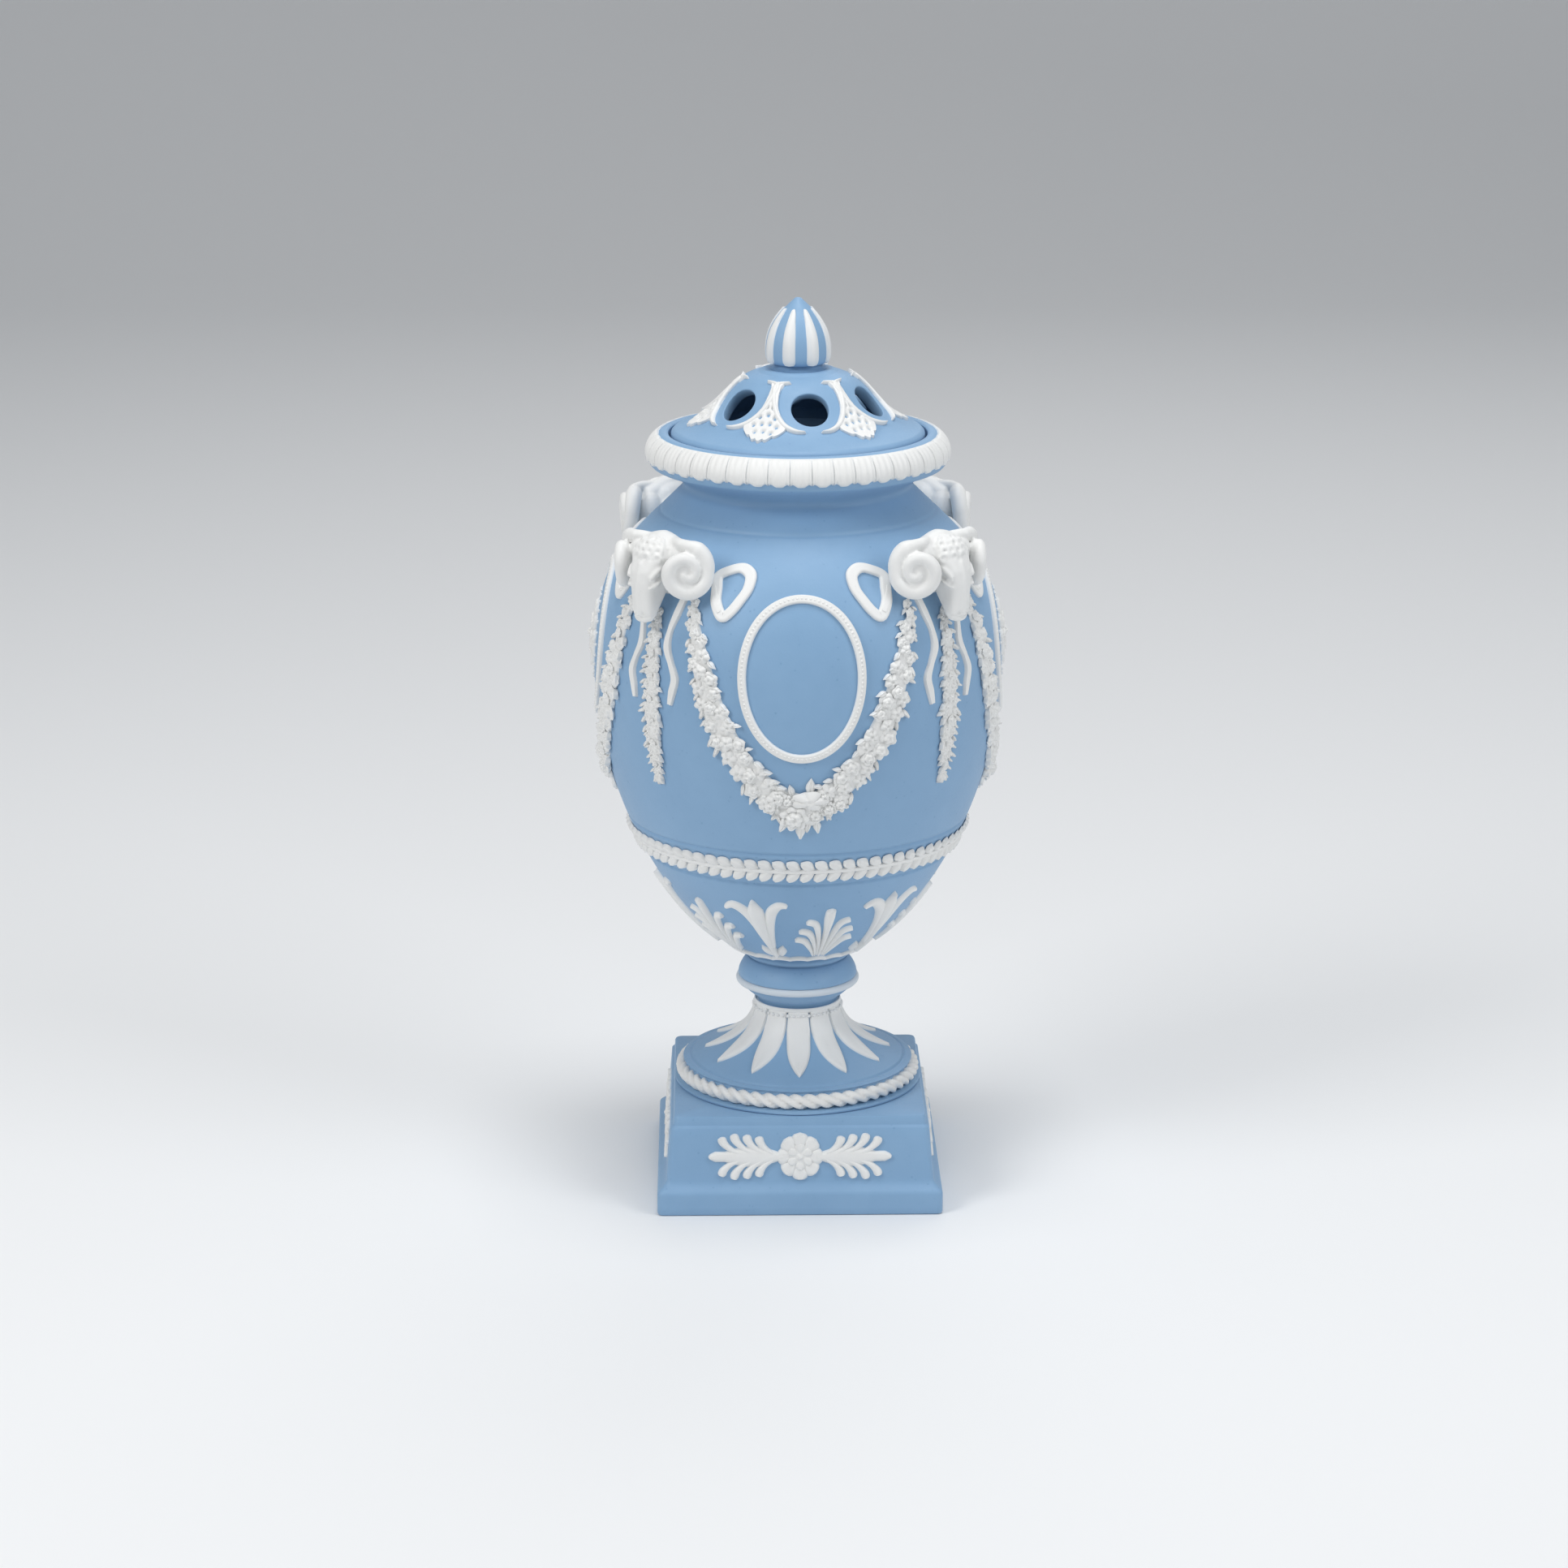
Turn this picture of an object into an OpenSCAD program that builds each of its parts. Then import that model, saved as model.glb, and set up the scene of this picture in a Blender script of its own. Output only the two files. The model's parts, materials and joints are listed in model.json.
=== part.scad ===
// Covered potpourri vase in two colours of unglazed stoneware, on a bolted pedestal.
// Millimetres, +Z up, front towards -Y, origin at the centre of the underside.
// Turns are measured from the front, towards +X.

/* [Overall] */
// Height of the whole vase with its cover
total_h = 300; // [296:0.5:308]

/* [Plinth] */
// Side of the bottom slab
slab_w = 95; // [94.5:0.5:104]
// Height of the bottom slab
slab_h = 10.4; // [7:0.1:15]
// Reach of the slab past the foot of the block
slab_step = 3; // [2:0.1:3.2]
// Lean of the block faces, foot to top
block_lean = 1.5; // [0.5:0.1:1.7]
// Height of the block
block_h = 19.1; // [18:0.1:26]
// Step from the block in to the thin cap
cap_step = 1; // [0.5:0.1:1.2]
// Height of the thin cap
cap_h = 3.6; // [2:0.1:6]
// Wall of the hollow plinth
plinth_wall = 7; // [5:0.5:10]

/* [Socle] */
// Radius of the socle edge
socle_r = 40.4; // [38:0.1:40.6]
// Height of the socle
socle_h = 28.7; // [26:0.1:34]
// Radius of the socle at its top
socle_neck_r = 13.4; // [11:0.1:15]
// Number of leaves on the socle
socle_leaf_count = 12; // [8:1:14]
// Number of turns in the rope band
rope_count = 66; // [48:1:70]

/* [Knop] */
// Radius of the knop
knop_r = 19.6; // [18.6:0.1:22]
// Height of the knop
knop_h = 15.2; // [13:0.1:18]

/* [Vessel] */
// Radius of the vessel foot
foot_r = 17.3; // [15:0.1:18.4]
// Radius at the belly
belly_r = 67.5; // [64:0.1:72]
// Height from belly to neck
shoulder_h = 59; // [56:0.5:64]
// Radius at the neck
neck_r = 38.4; // [37.5:0.1:41]
// Height from neck to the top of the rim
rim_h = 18.6; // [17.6:0.1:22]
// Radius of the rim under its border
rim_r = 48.6; // [47.6:0.1:52]
// Wall of the vessel
vessel_wall = 4.5; // [3.5:0.1:6]
// Thickness of the vessel floor
floor_h = 7; // [5:0.5:10]

/* [Relief] */
// Gap between relief and the surface that it lies on
seat_gap = 0.12; // [0.08:0.01:0.2]
// Height of the oval medallions
medallion_h = 53; // [46:0.5:56]
// Width of the oval medallions
medallion_w = 40; // [34:0.5:43]
// Number of leaf pairs in the laurel band
laurel_count = 66; // [50:1:72]
// Number of leaves over the rim
rim_leaf_count = 44; // [36:1:50]
// Scale of the ram heads
ram_scale = 1; // [0.9:0.01:1.1]

/* [Cover] */
// Radius of the cover edge
cover_r = 41.6; // [41:0.1:42.4]
// Height of the cover above its edge
dome_h = 20.4; // [18.5:0.1:24]
// Thickness of the cover edge
cover_edge_h = 4.8; // [4:0.1:6]
// Wall of the cover
cover_wall = 4; // [3:0.1:5]
// Depth of the skirt inside the mouth
skirt_h = 7; // [4:0.5:10]
// Gap round the skirt in the mouth
skirt_gap = 0.9; // [0.5:0.1:1.5]
// Gap round the cover edge in the rim
cover_gap = 0.9; // [0.5:0.1:1.5]
// Number of holes
hole_count = 6; // [5:1:6]
// Diameter of a hole
hole_d = 12.4; // [9:0.1:13]
// Turn of the cover as it stands
cover_turn = 8; // [-30:1:30]
// Height of the finial bud
bud_h = 21.6; // [19:0.1:25]
// Radius of the finial bud
bud_r = 10.5; // [9:0.1:12]
// Number of stripes on the finial
stripe_count = 8; // [6:1:9]

/* [Bolt] */
// Diameter of the bolt
bolt_d = 6; // [5:0.5:7]
// Gap round the bolt in the stoneware
bolt_gap = 0.6; // [0.3:0.1:1]
// Width across flats of the nut
nut_w = 10; // [9:0.5:13]
// Diameter of the washers
washer_d = 17; // [14.5:0.5:19]
// Thickness of the washers
washer_h = 1.4; // [1:0.1:2]

/* [Hidden] */
$fn = 96;
e = 0.01;
block_foot_w = slab_w - 2 * slab_step;
block_top_w = block_foot_w - 2 * block_lean;
cap_w = block_top_w - 2 * cap_step;
plinth_h = slab_h + block_h + cap_h;
socle_z = plinth_h;
knop_z = socle_z + socle_h;
vessel_z = knop_z + knop_h;
curve_z = vessel_z + 2.2;
collar_h = 1.6;
collar_r = 7.8;
bud_turn = cover_turn - 3.5;
ledge_h = 4.4;
dome_z = total_h - bud_h - collar_h;
edge_z = dome_z - dome_h;
ledge_z = edge_z - cover_edge_h;
rim_z = ledge_z + ledge_h;
neck_z = rim_z - rim_h;
belly_z = neck_z - shoulder_h;
rebate_r = cover_r + cover_gap;
mouth_r = neck_r - vessel_wall + 1.4;
skirt_r = mouth_r - skirt_gap;
bud_z = dome_z + collar_h;
bore_r = bolt_d / 2 + bolt_gap;
// Relief keeps its share of the belly
unit = belly_r / 67.5;
plinth_roof = 6;
nut_h = 5;
head_h = 4;

// Curves
function bezier(a, b, c, d, t) =
  pow(1 - t, 3) * a + 3 * pow(1 - t, 2) * t * b + 3 * (1 - t) * t * t * c + pow(t, 3) * d;
function curve(a, b, c, d, n) = [for (i = [0:n]) bezier(a, b, c, d, i / n)];
function mix(a, b, t) = a + (b - a) * t;
function flip(list) = [for (i = [len(list) - 1:-1:0]) list[i]];
function as_table(profile) = [for (p = profile) [p[1], p[0]]];
function along(pts, t) =
  let (k = t * (len(pts) - 1), i = min(floor(k), len(pts) - 2))
  mix(pts[i], pts[i + 1], k - i);

// Moves a profile inwards, square to itself
function shifted(p, d) = [for (i = [0:len(p) - 1])
  let (a = p[max(i - 1, 0)], b = p[min(i + 1, len(p) - 1)], v = (b - a) / norm(b - a))
  [max(p[i][0] - d * v[1], 0.5), p[i][1] + d * v[0]]];

// Profiles of the turned pieces, as radius and height
lower_curve = curve([foot_r, curve_z], [foot_r + 26, curve_z + 11], [belly_r, belly_z - 42.5],
                    [belly_r, belly_z], 20);
upper_curve = curve([belly_r, belly_z], [belly_r, belly_z + 35], [neck_r + 17.4, neck_z - 17.5],
                    [neck_r, neck_z], 16);
neck_curve = curve([neck_r, neck_z], [neck_r - 2.6, neck_z + 2.8], [rim_r - 7, neck_z + 5.6],
                   [rim_r - 1.2, neck_z + 7.6], 8);
rim_curve = curve([rim_r, neck_z + 9], [rim_r + 1.7, neck_z + 12], [rim_r - 0.2, rim_z - 1.6],
                  [rebate_r + 2.2, rim_z], 8);
body_curve = concat(lower_curve, [for (i = [1:len(upper_curve) - 1]) upper_curve[i]]);
inner_low = [for (p = shifted(lower_curve, vessel_wall)) if (p[1] > vessel_z + floor_h + 1.5) p];
inner_up = [for (p = shifted(upper_curve, vessel_wall)) if (p[1] < neck_z - 4) p];
socle_curve = curve([socle_r - 1.6, socle_z + 7.4], [socle_r - 11, socle_z + 10.5],
                    [socle_neck_r + 1.4, socle_z + 14.5], [socle_neck_r, socle_z + socle_h - 0.6], 14);
knop_top_curve = curve([knop_r, knop_z + 8.6], [knop_r, knop_z + 11.4], [knop_r - 0.9, knop_z + 13],
                       [foot_r - 0.6, knop_z + knop_h], 6);
dome_curve = curve([cover_r - 1.2, edge_z + 0.6], [cover_r - 17.3, edge_z + 5.3],
                   [cover_r - 17.5, edge_z + 17.7], [12.8, dome_z - 0.9], 14);
bud_curve = concat(
  curve([collar_r - 0.4, bud_z], [bud_r - 0.3, bud_z + 0.1], [bud_r, bud_z + 1.8], [bud_r, bud_z + 4.4], 5),
  [for (i = [1:9]) bezier([bud_r, bud_z + 4.4], [bud_r, bud_z + bud_h * 0.574],
                          [bud_r * 0.588, bud_z + bud_h * 0.769], [1, bud_z + bud_h - 0.2], i / 9)]);

// Surfaces that carry relief: round or flat, then reach by height
body_s = [true, as_table(body_curve)];
socle_s = [true, as_table(socle_curve)];
socle_edge_s = [true, [[socle_z, socle_r - 2.2], [socle_z + 7, socle_r - 2.2]]];
rim_s = [true, as_table(rim_curve)];
dome_s = [true, as_table(dome_curve)];
bud_s = [true, as_table([for (i = [2:len(bud_curve) - 1]) bud_curve[i]])];
plinth_s = [false, [[slab_h, block_foot_w / 2], [slab_h + block_h, block_top_w / 2]]];

function reach(s, z) = lookup(z, s[1]);
function slope(s, z) = (reach(s, z + 0.2) - reach(s, z - 0.2)) / 0.4;
// Length across per unit of turn, and length up the surface per unit of height
function across(s, z) = s[0] ? reach(s, z) * PI / 180 : 1;
function upward(s, z) = sqrt(1 + pow(slope(s, z), 2));
// Point at turn a and height z, lifted square to the surface by h
function seat(s, a, z, h) =
  let (k = 1 / upward(s, z), d = reach(s, z) + h * k, up = z - h * slope(s, z) * k)
  s[0] ? [d * sin(a), -d * cos(a), up] : [a, -d, up];
// Point on the surface at x across and y up, in millimetres, from a place on it
function local(s, place, x, y) =
  let (zz = place[1] + y / upward(s, place[1] + y / 2 / upward(s, place[1])))
  [place[0] + x / across(s, zz), zz];

// Cross sections of relief: across, height
low_section = [[-1, 0], [1, 0], [0.6, 0.8], [-0.6, 0.8]];
ridge_section = [[-1, 0], [0, 0], [1, 0], [0.55, 0.85], [-0.55, 0.85]];
rim_section = [[-1, 0.12], [-0.5, 0.12], [0, 0.12], [0.5, 0.12], [1, 0.12],
               [0.85, 0.7], [0, 1], [-0.85, 0.7]];
rope_section = [[-1, 0.02], [1, 0.02], [0.52, 1], [-0.52, 1]];
stripe_section = [[-1, 0.16], [-0.5, 0.16], [0, 0.16], [0.5, 0.16], [1, 0.16], [0.55, 1], [-0.55, 1]];
wide_section = [[-1, 0], [0, 0], [1, 0], [0.8, 0.65], [0, 1], [-0.8, 0.65]];

// Raised stroke along a path of turns and heights
module stroke(s, path, widths, height, section = ridge_section, closed = false) {
  n = len(path);
  k = len(section);
  pts = [for (i = [0:n - 1])
    let (a = path[closed ? (i + n - 1) % n : max(i - 1, 0)],
         b = path[closed ? (i + 1) % n : min(i + 1, n - 1)],
         da = closed && abs(b[0] - a[0]) > 180 ? b[0] - a[0] + 360 * sign(a[0] - b[0]) : b[0] - a[0],
         p = path[i], u = across(s, p[1]), m = upward(s, p[1]),
         d = [da * u, (b[1] - a[1]) * m], v = d / norm(d))
    for (q = section)
      let (w = q[0] * widths[i])
      seat(s, p[0] - v[1] * w / u, p[1] + v[0] * w / m, seat_gap + q[1] * height)];
  runs = closed ? n : n - 1;
  sides = [for (i = [0:runs - 1], j = [0:k - 1])
    let (up = (i + 1) % n, next = (j + 1) % k,
         a = i * k + j, b = i * k + next, c = up * k + next, d = up * k + j)
    each [[a, d, c], [a, c, b]]];
  caps = closed ? [] : [for (j = [1:k - 2]) each
    [[0, j, j + 1], [(n - 1) * k, (n - 1) * k + j + 1, (n - 1) * k + j]]];
  polyhedron(pts, concat(sides, caps));
}

// Raised patch with a lobed outline, given as lengths round its middle
module patch(s, place, outline, height, crown = 1) {
  n = len(outline);
  spot = function (i, f)
    let (t = 360 * i / n)
    local(s, place, -outline[i] * f * sin(t), outline[i] * f * cos(t));
  ring = function (f, h) [for (i = [0:n - 1]) let (q = spot(i, f)) seat(s, q[0], q[1], h)];
  pts = concat(ring(0.5, seat_gap), ring(1, seat_gap), ring(0.9, seat_gap + 0.6 * height),
               ring(0.45, seat_gap + height),
               [seat(s, place[0], place[1], seat_gap),
                seat(s, place[0], place[1], seat_gap + height * crown)]);
  bands = [for (r = [0:2], i = [0:n - 1])
    let (j = (i + 1) % n, a = r * n + i, b = r * n + j, c = (r + 1) * n + j, d = (r + 1) * n + i)
    each [[a, d, c], [a, c, b]]];
  ends = [for (i = [0:n - 1]) let (j = (i + 1) % n) each [[4 * n, i, j], [4 * n + 1, 3 * n + j, 3 * n + i]]];
  polyhedron(pts, concat(bands, ends));
}

// Leaf-shaped widths: full at the given share, slender at both ends
function leaf_widths(n, w, full = 0.4, root = 0.3) = [for (i = [0:n])
  let (t = i / n)
  max(0.14, w * (t < full ? mix(root, 1, sin(90 * t / full)) : cos(90 * (t - full) / (1 - full))))];

module blue() { color([0.58, 0.71, 0.83]) children(); }
module white() { color([0.93, 0.93, 0.92]) children(); }
module metal() { color([0.75, 0.62, 0.35]) children(); }
module soft() { color([0.25, 0.22, 0.2]) children(); }

// Square block that tapers from side a to side b
module taper(a, b, h) {
  polyhedron(
    [[-a, -a, 0] / 2, [a, -a, 0] / 2, [a, a, 0] / 2, [-a, a, 0] / 2,
     [-b / 2, -b / 2, h], [b / 2, -b / 2, h], [b / 2, b / 2, h], [-b / 2, b / 2, h]],
    [[0, 1, 2, 3], [4, 7, 6, 5], [0, 4, 5, 1], [1, 5, 6, 2], [2, 6, 7, 3], [3, 7, 4, 0]]);
}

module bolt_bore(z, h) {
  translate([0, 0, z - 1]) cylinder(r = bore_r, h = h + 2);
}

module plinth() {
  blue() difference() {
    union() {
      taper(slab_w - 1.6, slab_w, 1);
      translate([-slab_w / 2, -slab_w / 2, 1]) cube([slab_w, slab_w, slab_h - 3.4]);
      translate([0, 0, slab_h - 2.4]) taper(slab_w, block_foot_w, 2.4);
      translate([0, 0, slab_h]) taper(block_foot_w, block_top_w, block_h);
      translate([-cap_w / 2, -cap_w / 2, slab_h + block_h]) cube([cap_w, cap_w, cap_h]);
    }
    translate([0, 0, -1])
      linear_extrude(plinth_h - plinth_roof + 1) square(block_top_w - 2 * plinth_wall, center = true);
    bolt_bore(0, plinth_h);
  }
}

module socle() {
  blue() difference() {
    rotate_extrude() polygon(concat(
      [[0, socle_z], [socle_r + 1.2, socle_z], [socle_r + 1.2, socle_z + 1.1], [socle_r - 2.2, socle_z + 1.3],
       [socle_r - 2.2, socle_z + 6.6], [socle_r - 1.6, socle_z + 6.9]],
      socle_curve, [[socle_neck_r, socle_z + socle_h], [0, socle_z + socle_h]]));
    translate([0, 0, socle_z - 1]) cylinder(r1 = 14.4, r2 = 5, h = 18);
    bolt_bore(socle_z, socle_h);
  }
}

module knop() {
  blue() difference() {
    rotate_extrude() polygon(concat(
      [[0, knop_z], [socle_neck_r, knop_z], [socle_neck_r + 1, knop_z + 1.2], [knop_r - 3.4, knop_z + 2.4],
       [knop_r - 1, knop_z + 4.6], [knop_r - 0.6, knop_z + 5.2], [knop_r - 0.6, knop_z + 8.4]],
      knop_top_curve, [[0, knop_z + knop_h]]));
    bolt_bore(knop_z, knop_h);
  }
}

module knop_band() {
  white() rotate_extrude() polygon([
    [knop_r - 0.45, knop_z + 5.3], [knop_r + 0.6, knop_z + 5.5], [knop_r + 1.1, knop_z + 6.8],
    [knop_r + 0.6, knop_z + 8.1], [knop_r - 0.45, knop_z + 8.3]]);
}

module vessel() {
  blue() difference() {
    rotate_extrude() polygon(concat(
      [[0, vessel_z], [foot_r - 0.5, vessel_z],
       [foot_r + 0.4, vessel_z + 0.8], [foot_r + 0.4, vessel_z + 1.6]],
      body_curve, [for (i = [1:len(neck_curve) - 1]) neck_curve[i]], [[rim_r, neck_z + 7.8]], rim_curve,
      [[rebate_r, rim_z], [rebate_r, ledge_z], [mouth_r, ledge_z], [mouth_r, neck_z - 1.5]],
      flip(inner_up), flip(inner_low),
      [[foot_r - 2, vessel_z + floor_h], [0, vessel_z + floor_h]]));
    bolt_bore(vessel_z, floor_h);
    // Turned grooves over and under the laurel band
    for (z = [laurel_z - 5.6 * unit, laurel_z + 5.6 * unit]) translate([0, 0, z]) rotate_extrude()
      polygon([[reach(body_s, z) - 0.5, 0], [reach(body_s, z) + 2, -1.2], [reach(body_s, z) + 2, 1.2]]);
  }
}

laurel_z = belly_z - 56 * unit;
medallion_z = belly_z + 9.6 * unit;
ram_z = belly_z + 37 * unit;

module rim_border() {
  z0 = neck_z + 9.2;
  z1 = rim_z - 0.5;
  per = 2;
  n = rim_leaf_count * per;
  white() stroke(rim_s, [for (i = [0:n - 1]) [360 * i / n, (z0 + z1) / 2]],
                 [for (i = [0:n - 1]) (z1 - z0) / 2 * (i % per == 0 ? 0.84 : 1)], 1.1, rim_section, true);
}

module calyx_edge() {
  n = 64;
  white() stroke(body_s, [for (i = [0:n - 1]) [360 * i / n, vessel_z + 4.6 + 0.35 * cos(360 * 16 * i / n)]],
                 [for (i = [0:n - 1]) 0.7], 0.8, low_section, true);
}

// Six lilies and six palmettes take turns round the foot of the vessel
calyx_turn = -17;
module calyx_lilies() {
  z0 = vessel_z + 6.4;
  white() for (a = [calyx_turn:60:calyx_turn + 300], k = [-1:1])
    stroke(body_s, [for (i = [0:5]) let (t = i / 5)
             local(body_s, [a, z0], k * bezier(2.6, 3, 5.2, 10.2, t) * unit,
                   (k == 0 ? mix(4, 34, t) : bezier(10, 19, 29.5, 31.5, t)) * unit)],
           leaf_widths(5, (k == 0 ? 2.3 : 1.4) * unit, 0.7, 0.25), 1.3 * unit, low_section);
}

// Widths of a lobe with a slender stem and a round end
function bulb_widths(n, w) = [for (i = [0:n])
  let (t = i / n)
  w * (t < 0.8 ? mix(0.3, 1, pow(t / 0.8, 2)) : cos(65 * (t - 0.8) / 0.2))];

module calyx_palmettes() {
  z0 = vessel_z + 6.4;
  white() for (a = [calyx_turn + 30:60:calyx_turn + 330], k = [-2:2])
    stroke(body_s, [for (i = [0:4])
             let (t = i / 4, m = abs(k),
                  x = [0, bezier(1.4, 1.6, 3, 6.2, t), bezier(2.9, 3.4, 6, 8.4, t)][m],
                  y = [mix(4.5, 31, t), bezier(4.5, 13, 22, 24.4, t), bezier(4.5, 9, 14.5, 16, t)][m])
             local(body_s, [a, z0], sign(k) * x * unit, y * unit)],
           bulb_widths(4, (k == 0 ? 1.9 : 1.5) * unit), 1.3 * unit, low_section);
}

module laurel_band() {
  per = 2;
  n = laurel_count * per;
  white() stroke(body_s, [for (i = [0:n - 1]) [360 * i / n, laurel_z]],
                 [for (i = [0:n - 1]) (i % per == 0 ? 4.2 : 3.2) * unit], 1.5 * unit, low_section, true);
}

// Swag from one ram head to the next, on both sides of its middle
garland_half = [[-33.4, 31], [-30, 18.7], [-26.8, 6.1], [-23.5, -4.1], [-19.1, -13.2], [-13.7, -22],
                [-7, -28.6], [0, -31.4]];
garland_path = concat(garland_half, [for (i = [6:-1:0]) [-garland_half[i][0], garland_half[i][1]]]);
module garland(a) {
  n = 32;
  white() stroke(body_s,
    [for (i = [0:n]) let (p = along(garland_path, i / n)) [a + p[0], belly_z + p[1] * unit]],
    [for (i = [0:n]) (1.2 + 5.4 * pow(sin(180 * i / n), 0.9)) * (i % 2 == 0 ? 1.06 : 0.88) * unit],
    3.2 * unit, wide_section);
  white() for (k = [-1:1]) stroke(body_s,
    [for (i = [0:4]) [a + k * (2.4 + i * 1.1), belly_z - (39.4 + i * (1.4 - 0.4 * abs(k))) * unit]],
    leaf_widths(4, 1.1 * unit, 0.4, 0.5), 1.4 * unit);
}

module medallion(a) {
  n = 40;
  white() stroke(body_s, [for (i = [0:n - 1]) let (t = 360 * i / n)
                   local(body_s, [a, medallion_z], medallion_w / 2 * sin(t), medallion_h / 2 * cos(t))],
                 [for (i = [0:n - 1]) 1.3 * unit], 1.8 * unit, low_section, true);
}

module patera(a) {
  n = 40;
  white() patch(body_s, [a, medallion_z], [for (i = [0:n - 1])
    let (t = 360 * i / n, r = unit / norm([sin(t) / 9, cos(t) / 13]))
    r * (0.9 + 0.1 * cos(10 * t))], 1.9 * unit, 0.9);
}

// Ram head: face, brow, ears and curled horns, built at the front and turned into place
module ram_blob(x, y, z, r) {
  translate([x, y, z]) sphere(r = r, $fn = 7);
}
function horn_point(t) =
  let (a = 200 - 500 * t, r = mix(6.1, 1.6, t)) [3 * t, r * cos(a), r * sin(a)];
module ram_horn() {
  steps = 7;
  for (i = [0:steps - 1]) hull() for (j = [i, i + 1])
    translate(horn_point(j / steps)) sphere(r = mix(3, 1.6, j / steps), $fn = 5);
}
module ram(a) {
  r0 = reach(body_s, ram_z);
  white() rotate(a) difference() {
    translate([0, -r0, ram_z]) scale(ram_scale * unit) {
      hull() { ram_blob(0, -1.5, 8.6, 6.2); ram_blob(0, -7.5, 0, 5.2); ram_blob(0, 2, 3, 7); }
      hull() { ram_blob(0, -7.5, 0, 5.2); ram_blob(0, -10, -7.4, 3.8); ram_blob(0, -3, -5, 5); }
      hull() { ram_blob(0, -10, -7.4, 3.8); ram_blob(0, -10.2, -9.6, 2.9); ram_blob(0, -3, -8, 3.6); }
      for (k = [-1, 1]) {
        hull() { ram_blob(k * 5, -5, 9.4, 2.6); ram_blob(k * 8.6, -3.6, 9, 2.6); }
        hull() { ram_blob(k * 8, -1, -1, 2); ram_blob(k * 13.6, 0.4, -4.4, 1.1); }
        hull() { ram_blob(k * 7, 0, 5, 4.4); ram_blob(k * 9, 3, 4, 4.6); }
        translate([k * 11, -3.4, 4.6]) mirror([k < 0 ? 1 : 0, 0, 0]) rotate(-38) ram_horn();
      }
    }
    rotate_extrude($fn = 72) polygon(concat([[0, curve_z]], [for (p = body_curve) [p[0] + 0.2, p[1]]],
                                            [[0, neck_z]]));
  }
}

// Ribbon loops beside a ram head, with hanging tails
module bow(a) {
  loop = [[17, 38.4], [20.2, 41], [23.5, 42.4], [26.6, 42], [27.8, 39.8], [25.6, 35], [23.2, 31],
          [21, 28.6], [18.4, 30], [16.8, 34]];
  tail = [[6.6, 26], [4.8, 20], [4.6, 13.6], [7.6, 8], [6.6, -1]];
  white() for (k = [-1, 1]) {
    stroke(body_s, [for (p = k > 0 ? loop : flip(loop)) [a + k * p[0], belly_z + p[1] * unit]],
           [for (p = loop) 1.3 * unit], 1.2 * unit, low_section, true);
    stroke(body_s, [for (i = [0:10]) let (p = along(tail, i / 10)) [a + k * p[0], belly_z + p[1] * unit]],
           [for (i = [0:10]) (i == 10 ? 0.5 : 1) * unit], unit, low_section);
  }
}

module drop(a) {
  n = 20;
  white() stroke(body_s, [for (i = [0:n]) [a, belly_z + mix(23.4, -28, i / n) * unit]],
    [for (i = [0:n]) let (t = i / n)
      unit * max(0.5, (1.8 + 2.6 * sin(180 * t)) * (i % 2 == 0 ? 1.12 : 0.8) * (1.15 - t))],
    2.4 * unit, ridge_section);
}

module socle_leaves() {
  white() for (i = [0:socle_leaf_count - 1])
    stroke(socle_s, [for (j = [0:6]) [360 * i / socle_leaf_count, socle_z + mix(25, 9.1, sin(90 * j / 6))]],
           leaf_widths(6, 4.15 * 12 / socle_leaf_count, 0.5, 0.78), 1);
}

module socle_bead_ring() {
  white() rotate_extrude() polygon([
    [socle_neck_r + 0.5, socle_z + socle_h - 3.2], [socle_neck_r + 1, socle_z + socle_h - 3],
    [socle_neck_r + 1.5, socle_z + socle_h - 1.9], [socle_neck_r + 1, socle_z + socle_h - 0.8],
    [socle_neck_r + 0.5, socle_z + socle_h - 0.6]]);
}

module rope_band() {
  per = 2;
  n = rope_count * per;
  white() stroke(socle_edge_s, [for (i = [0:n - 1]) [360 * i / n, socle_z + 3.9]],
                 [for (i = [0:n - 1]) i % per == 0 ? 2.45 : 2.1], 2.7, rope_section, true);
}

module plinth_spray(a) {
  z = slab_h + block_h * 0.48;
  n = 24;
  white() rotate(a) {
    patch(plinth_s, [0, z], [for (i = [0:n - 1]) 6.4 + 0.9 * cos(8 * 360 * i / n)], 1.5, 0.8);
    for (k = [-1, 1]) {
      stroke(plinth_s, [for (i = [0:3]) [k * mix(9, 30.5, i / 3), z]],
             leaf_widths(3, 1.3, 0.7, 0.5), 1, low_section);
      for (side = [-1, 1], f = [0:3])
        stroke(plinth_s, [for (i = [0:2]) let (t = i / 2)
                 [k * (9.4 + f * 4 + (4.2 + f * 0.9) * t + t * t),
                  z + side * (1.75 + (6.4 - f * 1.1) * sin(80 * t))]],
               leaf_widths(2, 1.25, 0.7, 0.3), 1, low_section);
    }
  }
}

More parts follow.
